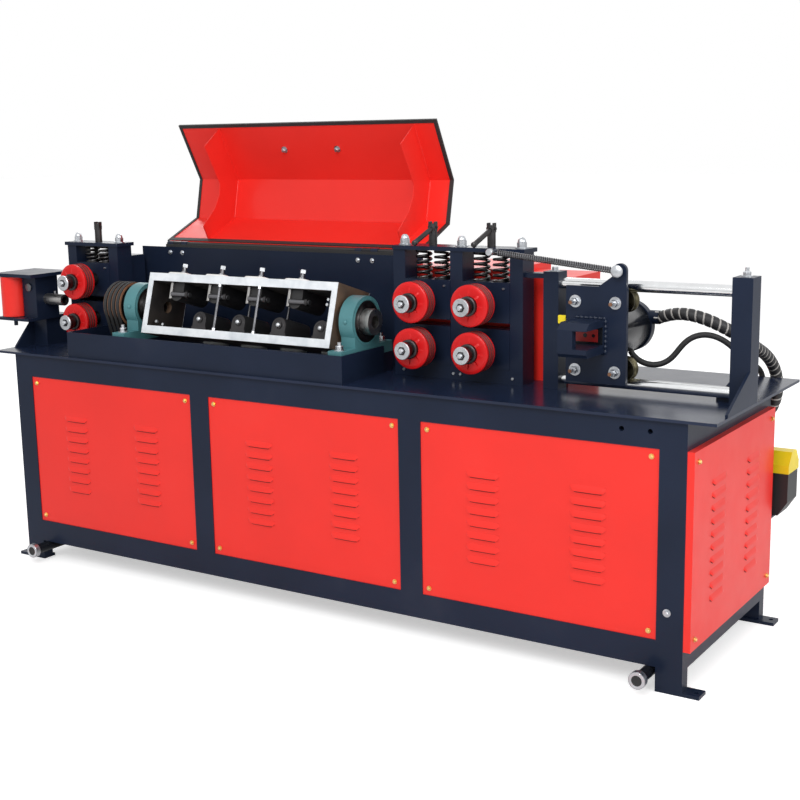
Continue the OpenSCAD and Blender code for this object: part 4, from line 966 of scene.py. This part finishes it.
rings = Form()
for x in (-1.143, 1.143):
    for way in (-1, 1):
        at = (x, way * 0.415, 0.052)
        rings.lathe([(0.0243, -0.0178), (0.0243, -0.0008), (0.0232, 0.0003), (0.0150, 0.0003)],
                    at, (0, way, 0), 36, 0)
        # dark disc across each pipe's open end: painted shade standing in for the hollow inside
        rings.lathe([(0.0150, 0.0003), (0.0146, 0.0001), (0.0, 0.0001)], at, (0, way, 0), 36, 1)
rings.piece("pipe_end_rings", ROOT, [ZINC, RUBBER], slot="bare_steel")

plug = Form()
plug.lathe([(0, 0), (0.013, 0), (0.014, 0.002), (0.014, 0.005), (0.010, 0.007), (0, 0.007)],
           (-1.255, -0.242, 0.965), (0, -1, 0), 24)
plug.bolt((-1.180, BAR_Y, 0.940), (0, 0, 1), 0.012, 0.010)
plug.piece("entry_plug", ROOT, [STUD], slot="bare_steel")


# Studio: floor, world, lamps, camera
FLOOR_HALF, FLOOR_GLOW, WORLD_LIGHT = 40, 0.50, 0.55


def white_floor():
    """Pale floor with the object's shadow, brightened for the camera only."""
    h = FLOOR_HALF
    mesh = bpy.data.meshes.new("floor")
    mesh.from_pydata([(-h, -h, 0), (h, -h, 0), (h, h, 0), (-h, h, 0)], [], [(0, 1, 2, 3)])
    obj = add_object("floor", mesh)
    mat, tree, shader, _ = finish_nodes("pale_floor")
    shader.inputs["Base Color"].default_value = (0.86, 0.86, 0.86, 1)
    shader.inputs["Roughness"].default_value = 0.9
    shader.inputs["Emission Color"].default_value = (1, 1, 1, 1)
    path = tree.nodes.new("ShaderNodeLightPath")
    glow = math_of(tree, "MULTIPLY", path.outputs["Is Camera Ray"], FLOOR_GLOW)
    tree.links.new(glow, shader.inputs["Emission Strength"])
    mesh.materials.append(mat)


def studio_world():
    """White to the camera, in reflections and through glass, softer as a light."""
    world = bpy.data.worlds.new("studio")
    bpy.context.scene.world = world
    world.use_nodes = True
    tree = world.node_tree
    back = tree.nodes["Background"]
    back.inputs["Color"].default_value = (1, 1, 1, 1)
    path = tree.nodes.new("ShaderNodeLightPath")
    seen = math_of(tree, "MAXIMUM", path.outputs["Is Camera Ray"], path.outputs["Is Transmission Ray"])
    seen = math_of(tree, "MAXIMUM", seen, path.outputs["Is Glossy Ray"])
    level = tree.nodes.new("ShaderNodeMapRange")
    level.inputs["To Min"].default_value = WORLD_LIGHT
    level.inputs["To Max"].default_value = 1.0
    tree.links.new(seen, level.inputs["Value"])
    tree.links.new(level.outputs["Result"], back.inputs["Strength"])


def lamp(name, place, aim, size, power):
    """Soft square lamp at a place, turned to its aim."""
    data = bpy.data.lights.new(name, "AREA")
    data.size = size
    data.energy = power
    place = np.asarray(place, float)
    look(add_object(name, data), place, np.asarray(aim, float) - place)


def look(obj, place, forward, roll=0.0):
    """Stands an object at a place with its -Z along forward, rolled about it."""
    f = forward / np.linalg.norm(forward)
    right = np.cross(f, [0, 0, 1.0])
    right /= np.linalg.norm(right)
    up = np.cross(right, f)
    r = math.cos(roll) * right + math.sin(roll) * up
    u = -math.sin(roll) * right + math.cos(roll) * up
    m = np.eye(4)
    m[:3, 0], m[:3, 1], m[:3, 2], m[:3, 3] = r, u, -f, place
    obj.matrix_world = Matrix(m.tolist())


white_floor()
studio_world()
lamp("key", (1.5, -4.5, 4.2), (0.2, 0, 0.7), 3.0, 180)
lamp("fill", (4.5, -1.0, 2.6), (0.4, 0, 0.6), 2.5, 70)
lamp("back", (-3.0, 3.5, 3.5), (0, 0, 0.8), 3.0, 90)

camera = bpy.data.cameras.new("photo_camera")
camera.sensor_width = 36.0
camera.lens = 60.513
camera.clip_end = 200
camera_obj = add_object("photo_camera", camera)
yaw, pitch, roll = math.radians(32.8288), math.radians(11.1826), math.radians(-1.0264)
aim = np.array([-math.sin(yaw) * math.cos(pitch), math.cos(yaw) * math.cos(pitch), -math.sin(pitch)])
look(camera_obj, np.array([2.43591, -3.54312, 1.47632]), aim, roll)
bpy.context.scene.camera = camera_obj
bpy.context.scene.view_settings.view_transform = "Standard"
